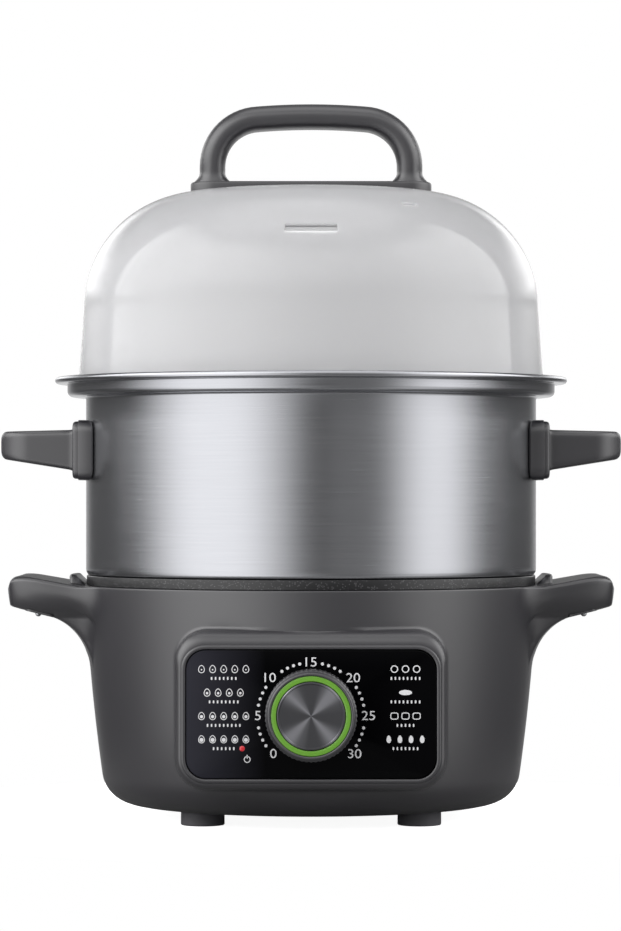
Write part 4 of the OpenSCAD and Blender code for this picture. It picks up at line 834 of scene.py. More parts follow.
class Print(Skin):
    """Flat marks between two depths."""
    # Figures are wider than the font's by this factor
    widen = 1.12

    def __init__(self, front, back):
        super().__init__()
        self.front, self.back = front, back

    def mark(self, outer, inner=None):
        """Mark with an outline of x and z, or a ring between two outlines of equal length."""
        if inner is None:
            self.tube(np.stack([standing(outer, y) for y in (self.front, self.back)]))
        else:
            rows = (outer, self.back), (outer, self.front), (inner, self.front), (inner, self.back)
            self.loop(np.stack([standing(o, y) for o, y in rows]))

    def figure(self, words, height, centre):
        """Figures of the built-in font, made a mesh, of a given height and centred on x and z."""
        curve = bpy.data.curves.new("figure", "FONT")
        curve.body, curve.size, curve.extrude = words, 1.0, 0.5
        p, faces = solid_of(curve)
        scale = height / np.ptp(p[:, 1])
        flat = (p - (p.min(0) + p.max(0)) / 2)[:, :2] * scale * (self.widen, 1) + centre
        self.solid(standing(flat, np.where(p[:, 2] > 0, self.front, self.back)), faces)

    def row(self, centre, count, pitch, sign):
        """A centred row of equal small signs: sign gives the outlines of the marks at a spot."""
        for k in range(count):
            for outlines in sign(np.array(centre) + ((k - (count - 1) / 2) * pitch, 0)):
                self.mark(*outlines)


def egg(width, height, centre):
    """Egg outline: an ellipse that is narrower at the top."""
    a = np.linspace(0, 2 * np.pi, 36, endpoint=False)
    narrow = 1 - 0.16 * np.sin(a)
    return np.stack([centre[0] + width / 2 * np.cos(a) * narrow, centre[1] + height / 2 * np.sin(a)], 1)


def block(width, height, radius, spot, arc_steps=3, side_steps=2):
    """Rounded rectangle about a spot, its sizes in millimetres."""
    return rounded_rect(width * MM, height * MM, radius * MM, arc_steps, side_steps) + spot


def egg_sign(yolk):
    """Sign of an egg with a yolk of the given radius."""
    def outlines(spot):
        rim = egg(2.6 * MM, 3.2 * MM, spot), egg(2.0 * MM, 2.6 * MM, spot)
        return [rim, (disc(yolk * MM, spot - (0, 0.25 * MM), 16),)]
    return outlines


def slice_sign(spot):
    """Sign of a slice seen from the end."""
    return [(disc(1.5 * MM, spot), disc(1.1 * MM, spot))]


def root_sign(spot):
    """Sign of a long root."""
    return [(disc(2.6 * MM, spot, 24, 0.4),)]


def pan_sign(spot):
    """Sign of a pan seen from above."""
    return [(block(3.2, 2.8, 0.9, spot, 5, 3), block(2.5, 2.1, 0.6, spot, 5, 3))]


def leaf_sign(spot):
    """Sign of a leaf."""
    return [(egg(1.8 * MM, 3.0 * MM, spot),)]


def tick_sign(spot):
    """Tick of a time scale."""
    return [(block(0.6, 1.2, 0.2, spot),)]


def power_sign(spot):
    """Ring with an upright stroke at its top."""
    return [(disc(1.35 * MM, spot), disc(1.0 * MM, spot)), (block(0.4, 1.5, 0.15, spot + (0, 1.1 * MM)),)]


# Minutes of a figure, its distance from the dial's middle in millimetres and its direction in degrees
FIGURES = ((0, 20.9, 224.4), (5, 21.1, 178.9), (10, 22.4, 136.3), (15, 21.6, 90.0), (20, 22.7, 42.7),
           (25, 22.7, 1.0), (30, 22.7, -40.4))
# Directions of the four dots between two figures, from the middle between them
DOTS = (-10.3, -3.45, 3.45, 10.3)
# Columns of signs, and their rows: height, column, signs in the row, sign and ticks under it
LEFT, RIGHT = -34.6 * MM, 37.4 * MM
SIGNS = ((66.4, LEFT, 5, egg_sign(0.3), 7), (57.1, LEFT, 4, egg_sign(0.5), 8),
         (47.8, LEFT, 5, egg_sign(0.65), 9), (38.6, LEFT, 5, egg_sign(0.8), 6),
         (66.4, RIGHT, 3, slice_sign, 8), (57.1, RIGHT, 1, root_sign, 8),
         (47.8, RIGHT, 3, pan_sign, 5), (38.6, RIGHT, 4, leaf_sign, 7))
SIGN_PITCH, TICK_PITCH, TICK_DROP = 4.4 * MM, 1.6 * MM, 3.7
POWER_SPOT = (-25.3 * MM, 30.6 * MM)


def dial_marks(marks, p):
    """Minute figures at their radius and direction, and four dots between neighbours."""
    middle_z = dial_height() - p.dial_drop

    def spot(radius, degrees):
        """Place on the panel at a distance and direction from the dial's middle."""
        a = math.radians(degrees)
        return radius * math.cos(a), middle_z + radius * math.sin(a)

    for i, (minutes, radius, way) in enumerate(FIGURES):
        marks.figure(str(minutes), p.figure_h, spot(radius * MM, way))
        for step in DOTS if i else ():
            marks.mark(disc(p.dot_r, spot(p.dot_ring, 247.5 - 45 * i - step), 16))


def pictograms(marks):
    """Two columns of signs with time ticks under each row: eggs on the left, foods on the right."""
    for z, x, count, sign, ticks in SIGNS:
        marks.row((x, z * MM), count, SIGN_PITCH, sign)
        marks.row((x, (z - TICK_DROP) * MM), ticks, TICK_PITCH, tick_sign)
    marks.row(POWER_SPOT, 1, 0, power_sign)


def build_panel(p):
    """Glossy panel with its printed dial, signs and the power light's lens."""
    front, back = low("control_panel", Y), high("control_panel", Y)
    w, h = span("control_panel", X), span("control_panel", Z)
    print_h, print_d, bevel = 0.03 * MM, 0.2 * MM, 0.5 * MM
    rings = [(0.0, back)] + [(inset, front + drop) for inset, drop in eased(bevel)]
    outlines = [(rounded_rect(w - 2 * i, h - 2 * i, p.panel_r - i) + (0, dial_height()), y) for i, y in rings]
    Skin().tube(np.stack([standing(o, y) for o, y in outlines])).piece(
        "panel_plate", "base", "panel_black", "control_panel")
    marks = Print(front - print_h, front + print_d)
    dial_marks(marks, p)
    pictograms(marks)
    marks.piece("panel_marks", "base", "pale_plastic", look="printed_marks")
    proud, lens_r, dome_r = -low("power_light", Y), 1.6 * MM, 2.9 * MM
    lens = np.concatenate([[[lens_r, proud - 2.4 * MM], [lens_r, proud - 0.35 * MM]],
                           arc((0, proud - dome_r), dome_r, 61, 88, 8)])
    grid = face_front(revolve(lens, 32), middle("power_light", Z)) + (middle("power_light", X), 0, 0)
    Skin().tube(grid).piece("light_lens", "base", "light_red", "power_light")


def build_knob(p):
    """Knob in three pieces: grooved skirt, coloured ring and spun cap."""
    z0 = dial_height()
    front, back = -low("knob_skirt", Y), -high("knob_skirt", Y)
    r, ring_r, cap_r = (high(node, X) for node in ("knob_skirt", "knob_ring", "knob_cap"))
    seat, ring_top = -high("knob_ring", Y), -low("knob_ring", Y)
    bore, shelf, gap, edge, ring_w = 3.3 * MM, 4 * MM, 0.1 * MM, 0.4 * MM, 2.2 * MM
    neck, brow, rest = r - 0.6 * MM, front - p.knob_bevel, 0.2 * MM
    steps = p.grooves * 6
    # Radius, height and share of the grooves' depth
    profile = [(bore, back, 0), (r - 1.0 * MM, back, 0), (r - 0.3 * MM, back + 0.25 * MM, 0.3)]
    profile += [(r, y, 1.0) for y in np.linspace(back + 0.6 * MM, brow - 0.3 * MM, 6)]
    profile += [(r - 0.25 * MM, brow, 0.6), (neck, brow + rest, 0)]
    profile += [(neck - 0.9 * MM * t, front - (p.knob_bevel - rest) * (1 - t) ** 1.6, 0)
                for t in np.linspace(0.15, 1, 7)]
    profile += [(ring_r + 0.25 * MM, front, 0), (ring_r + gap, front - 0.15 * MM, 0), (ring_r + gap, seat, 0),
                (shelf, seat, 0)]
    profile = np.array(profile)
    wave = (0.5 - 0.5 * np.cos(p.grooves * np.linspace(0, 2 * np.pi, steps, endpoint=False))) ** 1.5
    skirt = revolve(profile[:, :2], steps, -p.groove_d * profile[:, 2:] * wave)
    Skin().tube(face_front(skirt, z0)).piece("knob_grip", "knob", "grey_plastic", "knob_skirt", sharp=50.0)
    inner = ring_r - ring_w
    brink = ring_top - edge
    band = np.concatenate([[[inner, seat], [ring_r, seat]], arc((ring_r - edge, brink), edge, 0, 90, 5),
                           arc((inner + edge, brink), edge, 90, 180, 5)])
    Skin().loop(face_front(revolve(band, 128), z0)).piece("knob_band", "knob", "ring_green", "knob_ring")
    dish = front - 0.35 * MM
    cap = np.concatenate([[[2 * MM, seat], [cap_r, seat]], arc((cap_r - edge, front - edge), edge, 0, 90, 5),
                          [[cap_r - 0.8 * MM, front - 0.05 * MM], [cap_r - 1.0 * MM, dish + 0.05 * MM],
                           [cap_r * 0.66, dish + 0.01 * MM], [cap_r * 0.33, dish], [0.3 * MM, dish]]])
    Skin().tube(face_front(revolve(cap, 128), z0)).piece("knob_face", "knob", "knob_metal", "knob_cap")


# Pan, pot, rack

def build_pan(s):
    """Non-stick pan: its section turned about the axis."""
    top, rim, base = high("cooking_pan", Z), high("cooking_pan", X), high("base_housing", Z)
    floor = top - s.pan_depth
    under, out_r, corner, lip, edge = floor - s.pan_t, s.pan_in_r + s.pan_t, 8 * MM, 1.4 * MM, 0.3 * MM
    section = np.concatenate([
        [[2 * MM, under]], arc((out_r - corner, under + corner), corner, -90, 0, 9),
        [[out_r, base], [rim - edge, base], [rim, base + edge]],
        arc((rim - edge, top + edge), edge, 0, 90, 4),
        [[rim - 0.5 * MM, top + 0.55 * MM], [rim - 1.3 * MM, top]],
        arc((s.pan_in_r + lip, top - lip), lip, 90, 180, 7),
        arc((s.pan_in_r - corner, floor + corner), corner, 0, -90, 10), [[0.5 * MM, floor]]])
    Skin().tube(revolve(section, 160)).piece("pan_bowl", "base", "pan_coating", "cooking_pan")


def holed_plate(radius, holes, z0, z1):
    """Points and faces of a flat disc with round holes (radius, x, y), made from a filled flat curve."""
    curve = bpy.data.curves.new("plate", "CURVE")
    curve.dimensions, curve.fill_mode, curve.extrude = "2D", "BOTH", (z1 - z0) / 2
    for r, x, y in [(radius, 0.0, 0.0)] + holes:
        outline = disc(r, (x, y), 160 if r == radius else 28)
        spline = curve.splines.new("POLY")
        spline.points.add(len(outline) - 1)
        spline.points.foreach_set("co", np.insert(outline, 2, [[0], [1]], 1).ravel())
        spline.use_cyclic_u = True
    points, faces = solid_of(curve)
    return points + (0, 0, (z0 + z1) / 2), faces


def ring_of(count, radius, start):
    """X and y of evenly spaced places on a circle, from an angle on."""
    a = start + np.arange(count) * 2 * math.pi / count
    return [(radius * math.cos(v), radius * math.sin(v)) for v in a]


def build_pot(s):
    """Steamer pot: a sheet section turned about the axis, and a floor with rings of steam holes."""
    r = high("cooking_pan", X) + s.over
    top, pan_top, rim = high("steamer_pot", Z), high("cooking_pan", Z), high("steamer_pot", Y)
    step_r, step_z, low_z = r + s.step_w, top - s.step_h, pan_top - s.nest_d
    t, roll, floor_r, clear = s.sheet, s.rim_h / 2, s.nest_r - 5 * MM, 5 * MM
    corner, bend, seat, curl, tight, neck = 3.2 * MM, 1.2 * MM, 2.4 * MM, 0.5 * MM, 0.6 * MM, 0.4 * MM
    under = top - s.rim_h - curl

    def upright(radius, start, stop, count):
        """Points of a straight wall."""
        return np.stack([np.full(count, radius), np.linspace(start, stop, count)], 1)

    section = np.concatenate([
        [[floor_r, low_z]], arc((s.nest_r - MM, low_z + MM), MM, -90, 0, 5),
        [[s.nest_r, pan_top - 0.01 * MM]],
        arc((r - corner, pan_top + corner), corner, -90, 0, 7), upright(r, pan_top + clear, step_z - bend, 8),
        arc((r + bend, step_z - bend), bend, 180, 90, 5),
        arc((step_r - seat, step_z + seat), seat, -90, 0, 8),
        [[step_r, under]], arc((step_r + curl, under), curl, 180, 90, 4),
        arc((rim - roll, top - roll), roll, -90, 90, 13),
        arc((step_r + neck, top - t - neck), t + neck, 90, 180, 6),
        [[step_r - t, step_z + t + tight]], arc((step_r - t - tight, step_z + t + tight), tight, 0, -90, 4),
        [[r - t + tight, step_z + t]], arc((r - t + tight, step_z + t - tight), tight, 90, 180, 4),
        upright(r - t, step_z - 2 * MM, pan_top + clear, 6),
        arc((r - corner, pan_top + corner), corner - t, 0, -90, 5),
        [[s.nest_r, pan_top + t], [s.nest_r - t, pan_top]],
        arc((s.nest_r - t - tight, low_z + t + tight), tight, 0, -90, 4), [[floor_r, low_z + t]]])
    rings, first, pitch, per_ring, shift = 5, 14 * MM, 15 * MM, 7, math.radians(12)
    holes = [(s.steam_hole_r, x, y) for i in range(rings)
             for x, y in ring_of(per_ring * (i + 1), first + pitch * i, shift * i)]
    skin = Skin().loop(revolve(section, 256)).solid(*holed_plate(floor_r, holes, low_z, low_z + t))
    skin.piece("pot_shell", "steamer", "pot_steel", "steamer_pot")


def handle_grid(x0, x1, widths, heights, rise):
    """Grip as a stack of rounded sections along x: it tapers to a tip that is rounded both ways."""
    tip, side, root, flare, corner = 12 * MM, 3 * MM, 3 * MM, 0.9 * MM, 2.4 * MM

    def half(sizes, x, end):
        """Half size at x: a taper that is rounded off over a length at the end."""
        taper = (sizes[0] + (sizes[1] - sizes[0]) * (x - x0) / (x1 - x0)) / 2
        return taper - (end - math.sqrt(max(end ** 2 - max(x - x1 + end, 0) ** 2, 0)))

    rings = []
    for x in np.concatenate([np.linspace(0, 1, 24)[:-1] ** 1.6 * (x1 - tip - x0) + x0,
                             x1 - tip + tip * np.sin(np.linspace(0, np.pi / 2, 16))]):
        spread = flare * max(1 - (x - x0) / root, 0) ** 2
        w, h = half(widths, x, tip) + spread, half(heights, x, side) + spread
        o = rounded_rect(2 * w, 2 * h, min(corner, 0.8 * h), 6, 10)
        rings.append(np.insert(o + (0, rise * (x - x0) / (x1 - x0)), 0, x, 1))
    return np.stack(rings)


def build_pot_handles(s):
    """Two pot handles: a mounting block shaped to the pot, stepped at its outer edge, and a tapered grip."""
    node = "steamer_handle_right"
    pot_r = high("cooking_pan", X) + s.over
    depth, height, mid, face = span(node, Y), span(node, Z), middle(node, Z), pot_r + s.block_out
    rings = []
    # Place and inset of each outline: outside the pot's round wall, then behind the block's flat face
    on_wall = (0.1, 0.9), (0.4, 0.35), (1.0, 0)
    on_face = (2.6, 0), (2.4, 0.1), (2.3, 0.5), (1.1, 0.6), (0.5, 0.85), (0.12, 1.3), (0, 1.9)
    for k, (place, inset) in enumerate((*on_wall, *on_face)):
        i = inset * MM
        o = rounded_rect(depth - 2 * i, height - 2 * i, 5 * MM - i, 8, 16)
        bent = np.sqrt((pot_r + place * MM) ** 2 - o[:, 0] ** 2)
        rings.append(np.insert(o + (0, mid), 0, bent if k < len(on_wall) else face - place * MM, 1))
    grip = handle_grid(face - MM, high(node, X), (44 * MM, 38 * MM), (17.1 * MM, 11.3 * MM), 2.2 * MM)
    for side, name in SIDES.items():
        skin = Skin().tube(np.stack(rings) * (side, 1, 1)).tube((grip + (0, 0, mid)) * (side, 1, 1))
        skin.piece(f"pot_handle_{name}", "steamer", "grey_plastic", f"steamer_handle_{name}")


def build_rack(s):
    """Egg rack: a plate with seven egg holes and a finger hole, a bead under its edge and three legs."""
    r, foot, top = high("egg_rack", X), low("egg_rack", Z), high("egg_rack", Z)
    t, bead_h, bead_w, e = 2.4 * MM, 2.0 * MM, 2.0 * MM, 0.8 * MM
    leg_r, leg_edge, leg_in = 4 * MM, MM, 11.5 * MM
    under = top - t - bead_h
    eggs = [(s.egg_r, x, y) for x, y in ring_of(7, s.egg_ring, math.pi / 2)]
    skin = Skin().solid(*holed_plate(r - MM, [(s.finger_r, 0.0, 0.0)] + eggs, top - t, top))
    bead = np.concatenate([arc((r - e, under + e), e, -90, 0, 5), arc((r - e, top - e), e, 0, 90, 5),
                           [[r - bead_w, top], [r - bead_w, under]]])
    skin.loop(revolve(bead, 160))
    leg = np.concatenate([arc((leg_r - leg_edge, foot + leg_edge), leg_edge, -90, 0, 4),
                          [[leg_r, top - t + 0.2 * MM]]])
    for x, y in ring_of(3, s.egg_ring - s.egg_r - leg_in, math.pi / 2):
        skin.tube(revolve(leg, 32) + (x, y, 0))
    skin.piece("rack_tray", "rack", "pale_plastic", "egg_rack")


# Lid

def build_dome(s):
    """Dome: outer and inner shells of one section, with walled openings for the vent slot and the slit."""
    foot_r, foot = high("lid_dome", X), low("lid_dome", Z)
    base_r = foot_r - s.flange_w
    wall_r, z0 = base_r - s.draft, foot + s.wall_h
    cx = wall_r - s.shoulder_r
    drop = math.sqrt((s.crown_r - s.shoulder_r) ** 2 - cx ** 2)
    meet = math.degrees(math.atan2(drop, cx))
    slit_w, slit_h, flange_h, flange_edge = 3.5 * MM, 0.8 * MM, 2 * MM, 0.4 * MM
    # Edges of the two openings, as angles up the shoulder and round the axis
    slot = [math.degrees(math.asin((s.slot_up + d * s.slot_h / 2) / s.shoulder_r)) for d in (-1, 1)]
    slit = [math.degrees(math.acos((s.slit_r + d * slit_h - cx) / s.shoulder_r)) for d in (1, -1)]
    turns = np.unique(np.round(np.concatenate([np.linspace(0, meet, 40), slot, slit]), 5))
    half = math.asin(s.slot_w / 2 / (cx + s.shoulder_r * math.cos(math.radians(sum(slot) / 2))))
    slit_half = slit_w / s.slit_r
    edges = [-math.pi / 2 - half, -math.pi / 2 + half, s.slit_turn - slit_half, s.slit_turn + slit_half]
    phi = np.unique(np.round(np.concatenate([np.radians(np.arange(-180, 180, 2.0)), edges]), 6))
    a = np.radians(turns)
    outer_foot = [[foot_r, foot], [foot_r, foot + flange_h],
                  [foot_r - flange_edge, foot + flange_h + flange_edge]]
    inner_foot = [[base_r - s.thickness, foot + h * MM] for h in (0, 1, 2)]
    shells = []
    for inset, lead in ((0.0, outer_foot), (s.thickness, inner_foot)):
        start, stop = np.array([base_r - inset, foot + 2.6 * MM]), np.array([wall_r - inset, z0])
        wall = start + (stop - start) * np.linspace(0, 1, 12)[:-1, None]
        shoulder = np.stack([np.cos(a), np.sin(a)], 1) * (s.shoulder_r - inset) + (cx, z0)
        crown = arc((0, z0 - drop), s.crown_r - inset, meet, 89.97, 12)[1:]
        shells.append(np.concatenate([lead, wall, shoulder, crown]))
    first = len(lead) + len(wall)
    skin = Skin()
    index = [skin.add(revolve(section, phi)) for section in shells]
    keep = np.ones((len(shells[0]) - 1, len(phi)), bool)
    for turn_pair, phi_pair in ((slot, edges[:2]), (slit, edges[2:])):
        i0, i1 = [first + int(np.argmin(np.abs(turns - v))) for v in turn_pair]
        j0, j1 = [int(np.argmin(np.abs(phi - v))) for v in phi_pair]
        keep[i0:i1, j0:j1] = False
        for r0, r1, c0, c1 in ((i0, i0, j0, j1), (i1, i1, j0, j1), (i0, i1, j0, j0), (i0, i1, j1, j1)):
            skin.sheet(np.stack([k[r0:r1 + 1, c0:c1 + 1].ravel() for k in index]), wrap_columns=False)
    for k, section in zip(index, shells):
        skin.sheet(k, keep=keep)
        skin.fan(k[-1], (0, 0, section[-1, 1]))
    skin.sheet(np.stack([index[0][0], index[1][0]]))
    skin.piece("dome_shell", "lid", "lid_plastic", "lid_dome", sharp=50.0)


def arch_path(s, root, top):
    """Centre line of the arch in x and z: a leg, a quarter turn, a crowned bar, and the same mirrored."""
    x, r = s.arch_x - s.arch_leg / 2, s.arch_r - s.arch_leg / 2
    mid = top - s.arch_bar / 2
    corner = mid - s.arch_crown - r
    leg = np.stack([np.full(14, -x), root + (corner - root) * np.linspace(0, 1, 14) ** 1.4], 1)
    bend = arc((r - x, corner), r, 180, 93, 16)[1:]
    u = np.linspace(bend[-1, 0], 0, 10)[1:]
    bar = np.stack([u, mid - (mid - bend[-1, 1]) * (u / bend[-1, 0]) ** 2], 1)
    left = np.concatenate([leg, bend, bar])
    return np.concatenate([left, left[-2::-1] * (-1, 1)])


def build_lid_handle(s):
    """Lid handle: a rounded bar swept along the arch, with flared roots, on a strip along the crown."""
    top, apex = high("lid_handle", Z), high("lid_dome", Z)
    strip_top = apex + s.strip_h
    sunk, root_h, root_w, root_d = 0.8 * MM, 4.2 * MM, 2.6 * MM, 0.8 * MM
    outer_power, inner_power = 2.15, 3.2
    path = arch_path(s, strip_top - sunk, top)
    step = np.gradient(path, axis=0)
    tangent = step / np.linalg.norm(step, axis=1)[:, None]
    near = np.clip(1 - (path[:, 1] - strip_top) / root_h, 0, 1) ** 2
    thick = (s.arch_bar + (s.arch_leg - s.arch_bar) * np.abs(tangent[:, 1])) / 2 + root_w * near
    deep = s.arch_d / 2 + root_d * near
    # Superellipse across the bar: rounder on its outside than on its inside
    a = np.linspace(0, 2 * np.pi, 48, endpoint=False)
    power = np.where(np.cos(a) > 0, 2 / outer_power, 2 / inner_power)
    u, v = (np.sign(w) * np.abs(w) ** power for w in (np.cos(a), np.sin(a)))
    x = path[:, :1] - tangent[:, 1:] * thick[:, None] * u
    z = path[:, 1:] + tangent[:, :1] * thick[:, None] * u
    skin = Skin().tube(np.stack([x, deep[:, None] * v, np.minimum(z, top)], 2))
    w, d, corner, edge = span("lid_handle", X) - MM, 22 * MM, 10 * MM, MM
    rings = []
    for inset, ground_rise, drop in [(0.3 * MM, 0.0, None), (0.0, 0.4 * MM, None)] + [
            (inset, None, drop) for inset, drop in eased(edge)]:
        o = rounded_rect(w - 2 * inset, d - 2 * inset, corner - inset, 10, 24)
        ground = apex - s.crown_r + np.sqrt(s.crown_r ** 2 - (o ** 2).sum(1)) + 0.05 * MM
        rings.append(np.insert(o, 2, ground + ground_rise if drop is None else strip_top - drop, 1))
    skin.tube(np.stack(rings)).piece("lid_arch", "lid", "grey_plastic", "lid_handle")


# Feet and gland

def build_feet(s):
    """Four rubber feet with a rounded tread."""
    top, hollow, tread = low("base_housing", Z), 4.2 * MM, 0.6 * MM
    for node in ("foot_front_left", "foot_front_right", "foot_rear_left", "foot_rear_right"):
        r = span(node, X) / 2
        section = np.concatenate([[[hollow, tread], [hollow + 0.4 * MM, 0]],
                                  arc((s.foot_tip_r - tread, tread), tread, -90, -10, 5),
                                  [[r - 0.25 * MM, top - 0.8 * MM], [r, top - 0.3 * MM],
                                   [r - 0.1 * MM, top]]])
        place = (middle(node, X), middle(node, Y), 0)
        Skin().tube(revolve(section, 48) + place).piece(f"{node}_pad", "base", "foot_rubber", node)


def build_gland():
    """Cord gland: a round flange with a soft edge and an open bore."""
    r, y0, y1 = high("cord_gland", X), low("cord_gland", Y), high("cord_gland", Y)
    bore, passage, neck, ledge, e = 3.5 * MM, 4.4 * MM, 5.9 * MM, 2.7 * MM, 0.7 * MM
    section = np.concatenate([[[bore, y1 - ledge], [passage, y1 - ledge], [passage, y0], [neck, y0],
                               [neck, y1 - FLANGE], [r, y1 - FLANGE]],
                              arc((r - e, y1 - e), e, 0, 90, 5), arc((bore + e, y1 - e), e, 90, 180, 5)])
    grid = face_back(revolve(section, 64), middle("cord_gland", Z))
    Skin().loop(grid).piece("gland_body", "base", "dark_plastic", "cord_gland")


# Studio

def softbox(name, place, aim, size, power):
    """Square area light that looks at a point and hides from the camera."""
    lamp = bpy.data.lights.new(name, "AREA")
    lamp.shape, lamp.size, lamp.size_y, lamp.energy = "RECTANGLE", size, size, power
    holder = show(name, lamp)
    x, y, z = np.subtract(place, aim)
    holder.location = place
    holder.rotation_euler = (math.atan2(math.hypot(x, y), z), 0, math.atan2(x, -y))
    holder.visible_camera = False


def build_floor():
    """Round pale floor that is white to the camera and keeps a faint shadow."""
    radius, white, shade, lift = 0.2, (0.8, 0.8, 0.8, 1), (0.25, 0.25, 0.25, 1), 0.93
    skin = Skin()
    skin.fan(skin.add(np.insert(disc(radius, (0, 0), 96), 2, 0, 1)), (0, 0, 0))
    mesh = skin.mesh("floor")
    s = Shader(bpy.data.materials.new("floor"))
    paint = s.node("ShaderNodeBsdfDiffuse", None, {"Color": white})
    glow = s.node("ShaderNodeEmission", None, {"Color": (1, 1, 1, 1), "Strength": lift})
    both = s.node("ShaderNodeAddShader", None, {0: paint, 1: glow})
    dim = s.node("ShaderNodeBsdfDiffuse", None, {"Color": shade})
    ray = s.node("ShaderNodeLightPath", output="Is Camera Ray")
    seen = s.node("ShaderNodeMixShader", None, {0: ray, 1: dim, 2: both})
    s.node("ShaderNodeOutputMaterial", None, {"Surface": seen})
    mesh.materials.append(s.owner)
    show("floor", mesh)


def build_world():
    """World: white to the camera; other rays meet soft cards, placed by azimuth and height."""
    world = bpy.data.worlds.new("studio")
    bpy.context.scene.world = world
    s = Shader(world)
    path = s.node("ShaderNodeLightPath", output="Is Camera Ray")
    seen = path.math("MAXIMUM", path, path.out("Is Transmission Ray"))
    way = s.node("ShaderNodeSeparateXYZ", None, {0: s.node("ShaderNodeTexCoord", output="Generated")})
    azimuth = way.math("DEGREES", way.math("ARCTAN2", way, way.out("Y") * -1.0))
    height = way.math("DEGREES", way.math("ARCSINE", way.out("Z")))
    turned = azimuth.math("ABSOLUTE", azimuth)
    # Large cards left and right, narrow ones at the flanks, and one overhead
    band = s.window(height, -65, -40, 45, 60)
    left = s.window(azimuth, -104, -58, -40, 6) * band
    right = s.window(azimuth, 30, 62, 67, 103) * (band * 0.62 + s.window(height, -16, -8, 8, 16) * 0.55)
    flank = s.window(turned, 45, 114, 116.5, 118.5) * s.window(height, 3, 8, 45, 60)
    over = s.ramp(height, 52, 74)
    # Light from the front, with a dark flag at the lens, and from behind
    front = 1 - s.ramp(turned, 60, 130)
    rise = front * s.window(height, 9, 26, 44, 58)
    flag = s.window(turned, -2, -1, 6, 12) * s.window(height, -9, -6, 5, 9)
    behind = s.ramp(turned, 148, 164) * 0.4 + s.ramp(turned, 160, 174) * 0.5
    glow = s.window(turned, 119, 150, 162, 173) * s.window(height, 3, 8, 14, 26)
    strip = s.ramp(turned, 158, 172) * s.window(height, 3, 8, 30, 45)
    tent = 0.05 + s.ramp(turned, 105, 130) * 0.06 + front * 0.2 * (1 - flag) + rise + over * 1.5
    tent = tent + left * 1.8 + right * 1.4 + flank * 2.6 + strip * 0.2
    tent = tent + behind * s.window(height, -60, -40, 3, 8) + glow * 2.0
    level = seen + (1 - seen) * tent
    light = s.node("ShaderNodeBackground", None, {"Color": (1, 1, 1, 1), "Strength": level})
    s.node("ShaderNodeOutputWorld", None, {"Surface": light})


def build_camera():
    """Level camera in front of the dial, as far off and as high as the photograph's."""
    lens = bpy.data.cameras.new("camera")
    lens.sensor_width, lens.lens, lens.clip_end = 36.0, 143.6, 20.0
    lens.shift_x, lens.shift_y = -0.0006, 0.0231
    camera = show("camera", lens)
    camera.location = (0, -1.5676, 0.1385)
    camera.rotation_euler = (math.pi / 2, 0, 0)
    bpy.context.scene.camera = camera
    bpy.context.scene.view_settings.view_transform = "Standard"


# Operators, one for each piece or group

class EGG_OT_finishes(Operator):
    """Makes the materials and puts them on every CAD node that stays in view"""
    bl_idname = "egg_cooker.finishes"
    bl_label = "Finishes"

    def execute(self, context):
        make_finishes(context.scene.egg_colours)
        for part in frame["record"]["subparts"]:
            node = frame["nodes"][part["node"]]
            node.data.materials.clear()
            node.data.materials.append(finish(part["material_slot"]))
        return {"FINISHED"}


class EGG_OT_housing(Operator):
    """Builds the base's shell"""
    bl_idname = "egg_cooker.housing"
    bl_label = "Housing"

    def execute(self, context):
        build_housing(context.scene.egg_housing, context.scene.egg_panel)
        return {"FINISHED"}


class EGG_OT_base_trim(Operator):
    """Builds the handle covers, the feet and the cord gland"""
    bl_idname = "egg_cooker.base_trim"
    bl_label = "Covers, feet and gland"

    def execute(self, context):
        build_handle_covers(context.scene.egg_housing)
        build_cover_screws(context.scene.egg_housing)
        build_feet(context.scene.egg_housing)
        build_gland()
        return {"FINISHED"}


class EGG_OT_panel(Operator):
    """Builds the panel, its marks and the power light"""
    bl_idname = "egg_cooker.panel"
    bl_label = "Panel"

    def execute(self, context):
        build_panel(context.scene.egg_panel)
        return {"FINISHED"}


class EGG_OT_knob(Operator):
    """Builds the knob"""
    bl_idname = "egg_cooker.knob"
    bl_label = "Knob"

    def execute(self, context):
        build_knob(context.scene.egg_panel)
        return {"FINISHED"}


class EGG_OT_pan(Operator):
    """Builds the pan"""
    bl_idname = "egg_cooker.pan"
    bl_label = "Pan"

    def execute(self, context):
        build_pan(context.scene.egg_pot)
        return {"FINISHED"}


class EGG_OT_pot(Operator):
    """Builds the steamer pot and its handles"""
    bl_idname = "egg_cooker.pot"
    bl_label = "Steamer pot"

    def execute(self, context):
        build_pot(context.scene.egg_pot)
        build_pot_handles(context.scene.egg_pot)
        return {"FINISHED"}


class EGG_OT_rack(Operator):
    """Builds the egg rack"""
    bl_idname = "egg_cooker.rack"
    bl_label = "Egg rack"

    def execute(self, context):
        build_rack(context.scene.egg_pot)
        return {"FINISHED"}


class EGG_OT_lid(Operator):
    """Builds the dome and its handle"""
    bl_idname = "egg_cooker.lid"
    bl_label = "Lid"

    def execute(self, context):
        build_dome(context.scene.egg_lid)
        build_lid_handle(context.scene.egg_lid)
        return {"FINISHED"}


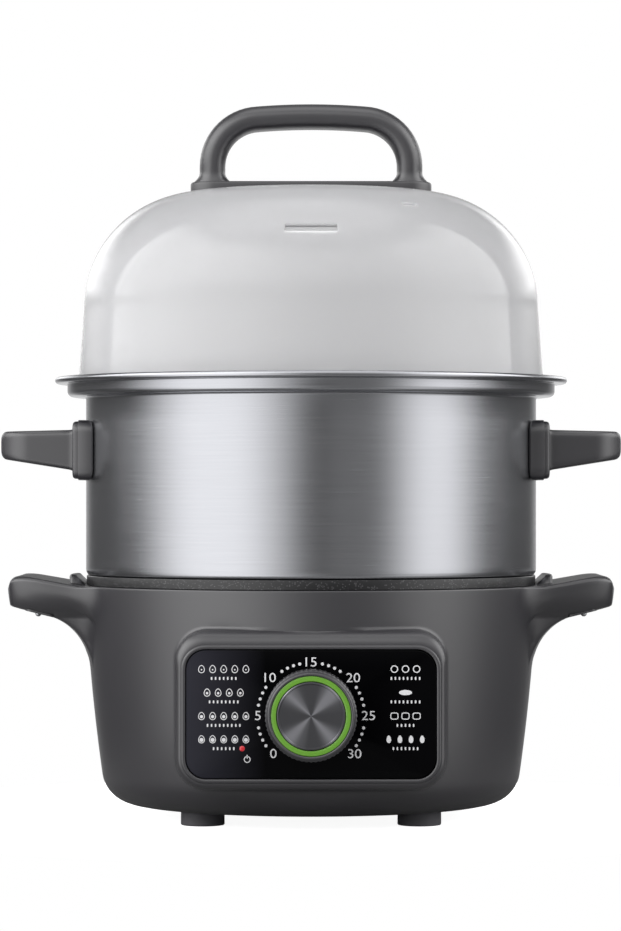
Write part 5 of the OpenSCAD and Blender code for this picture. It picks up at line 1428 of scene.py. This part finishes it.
class EGG_OT_stage(Operator):
    """Builds the floor, the lights, the world and the camera"""
    bl_idname = "egg_cooker.stage"
    bl_label = "Stage"

    def execute(self, context):
        build_floor()
        build_world()
        softbox("left_softbox", place=(-1.0, -0.8, 1.1), aim=(0, 0, 0.15), size=1.0, power=0.8)
        softbox("right_softbox", place=(1.1, -0.3, 1.3), aim=(0, 0, 0.2), size=1.0, power=0.6)
        build_camera()
        return {"FINISHED"}


class EGG_PT_sidebar(Panel):
    """Sizes, colours and build steps of the egg cooker"""
    bl_idname = "EGG_PT_sidebar"
    bl_label = "Egg Cooker"
    bl_space_type = "VIEW_3D"
    bl_region_type = "UI"
    bl_category = "Egg Cooker"

    def draw(self, context):
        for operator in OPERATORS:
            self.layout.operator(operator.bl_idname)
        for title, group in GROUPS:
            box = self.layout.box()
            box.label(text=title)
            values = getattr(context.scene, group)
            for name in values.__annotations__:
                box.prop(values, name)


OPERATORS = (EGG_OT_finishes, EGG_OT_housing, EGG_OT_base_trim, EGG_OT_panel, EGG_OT_knob, EGG_OT_pan,
             EGG_OT_pot, EGG_OT_rack, EGG_OT_lid, EGG_OT_stage)
GROUPS = (("Housing", "egg_housing"), ("Panel", "egg_panel"), ("Pot", "egg_pot"), ("Lid", "egg_lid"),
          ("Colours", "egg_colours"))
GROUP_TYPES = (HousingSizes, PanelSizes, PotSizes, LidSizes, Colours)


def register():
    for cls in (*GROUP_TYPES, *OPERATORS, EGG_PT_sidebar):
        bpy.utils.register_class(cls)
    for (_, name), kind in zip(GROUPS, GROUP_TYPES):
        setattr(bpy.types.Scene, name, PointerProperty(type=kind))


def unregister():
    for _, name in GROUPS:
        delattr(bpy.types.Scene, name)
    for cls in reversed((*GROUP_TYPES, *OPERATORS, EGG_PT_sidebar)):
        bpy.utils.unregister_class(cls)


def main():
    """Registers the add-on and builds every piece."""
    register()
    steps = bpy.ops.egg_cooker
    steps.finishes()
    steps.housing()
    steps.base_trim()
    steps.panel()
    steps.knob()
    steps.pan()
    steps.pot()
    steps.rack()
    steps.lid()
    steps.stage()


if __name__ == "__main__":
    main()
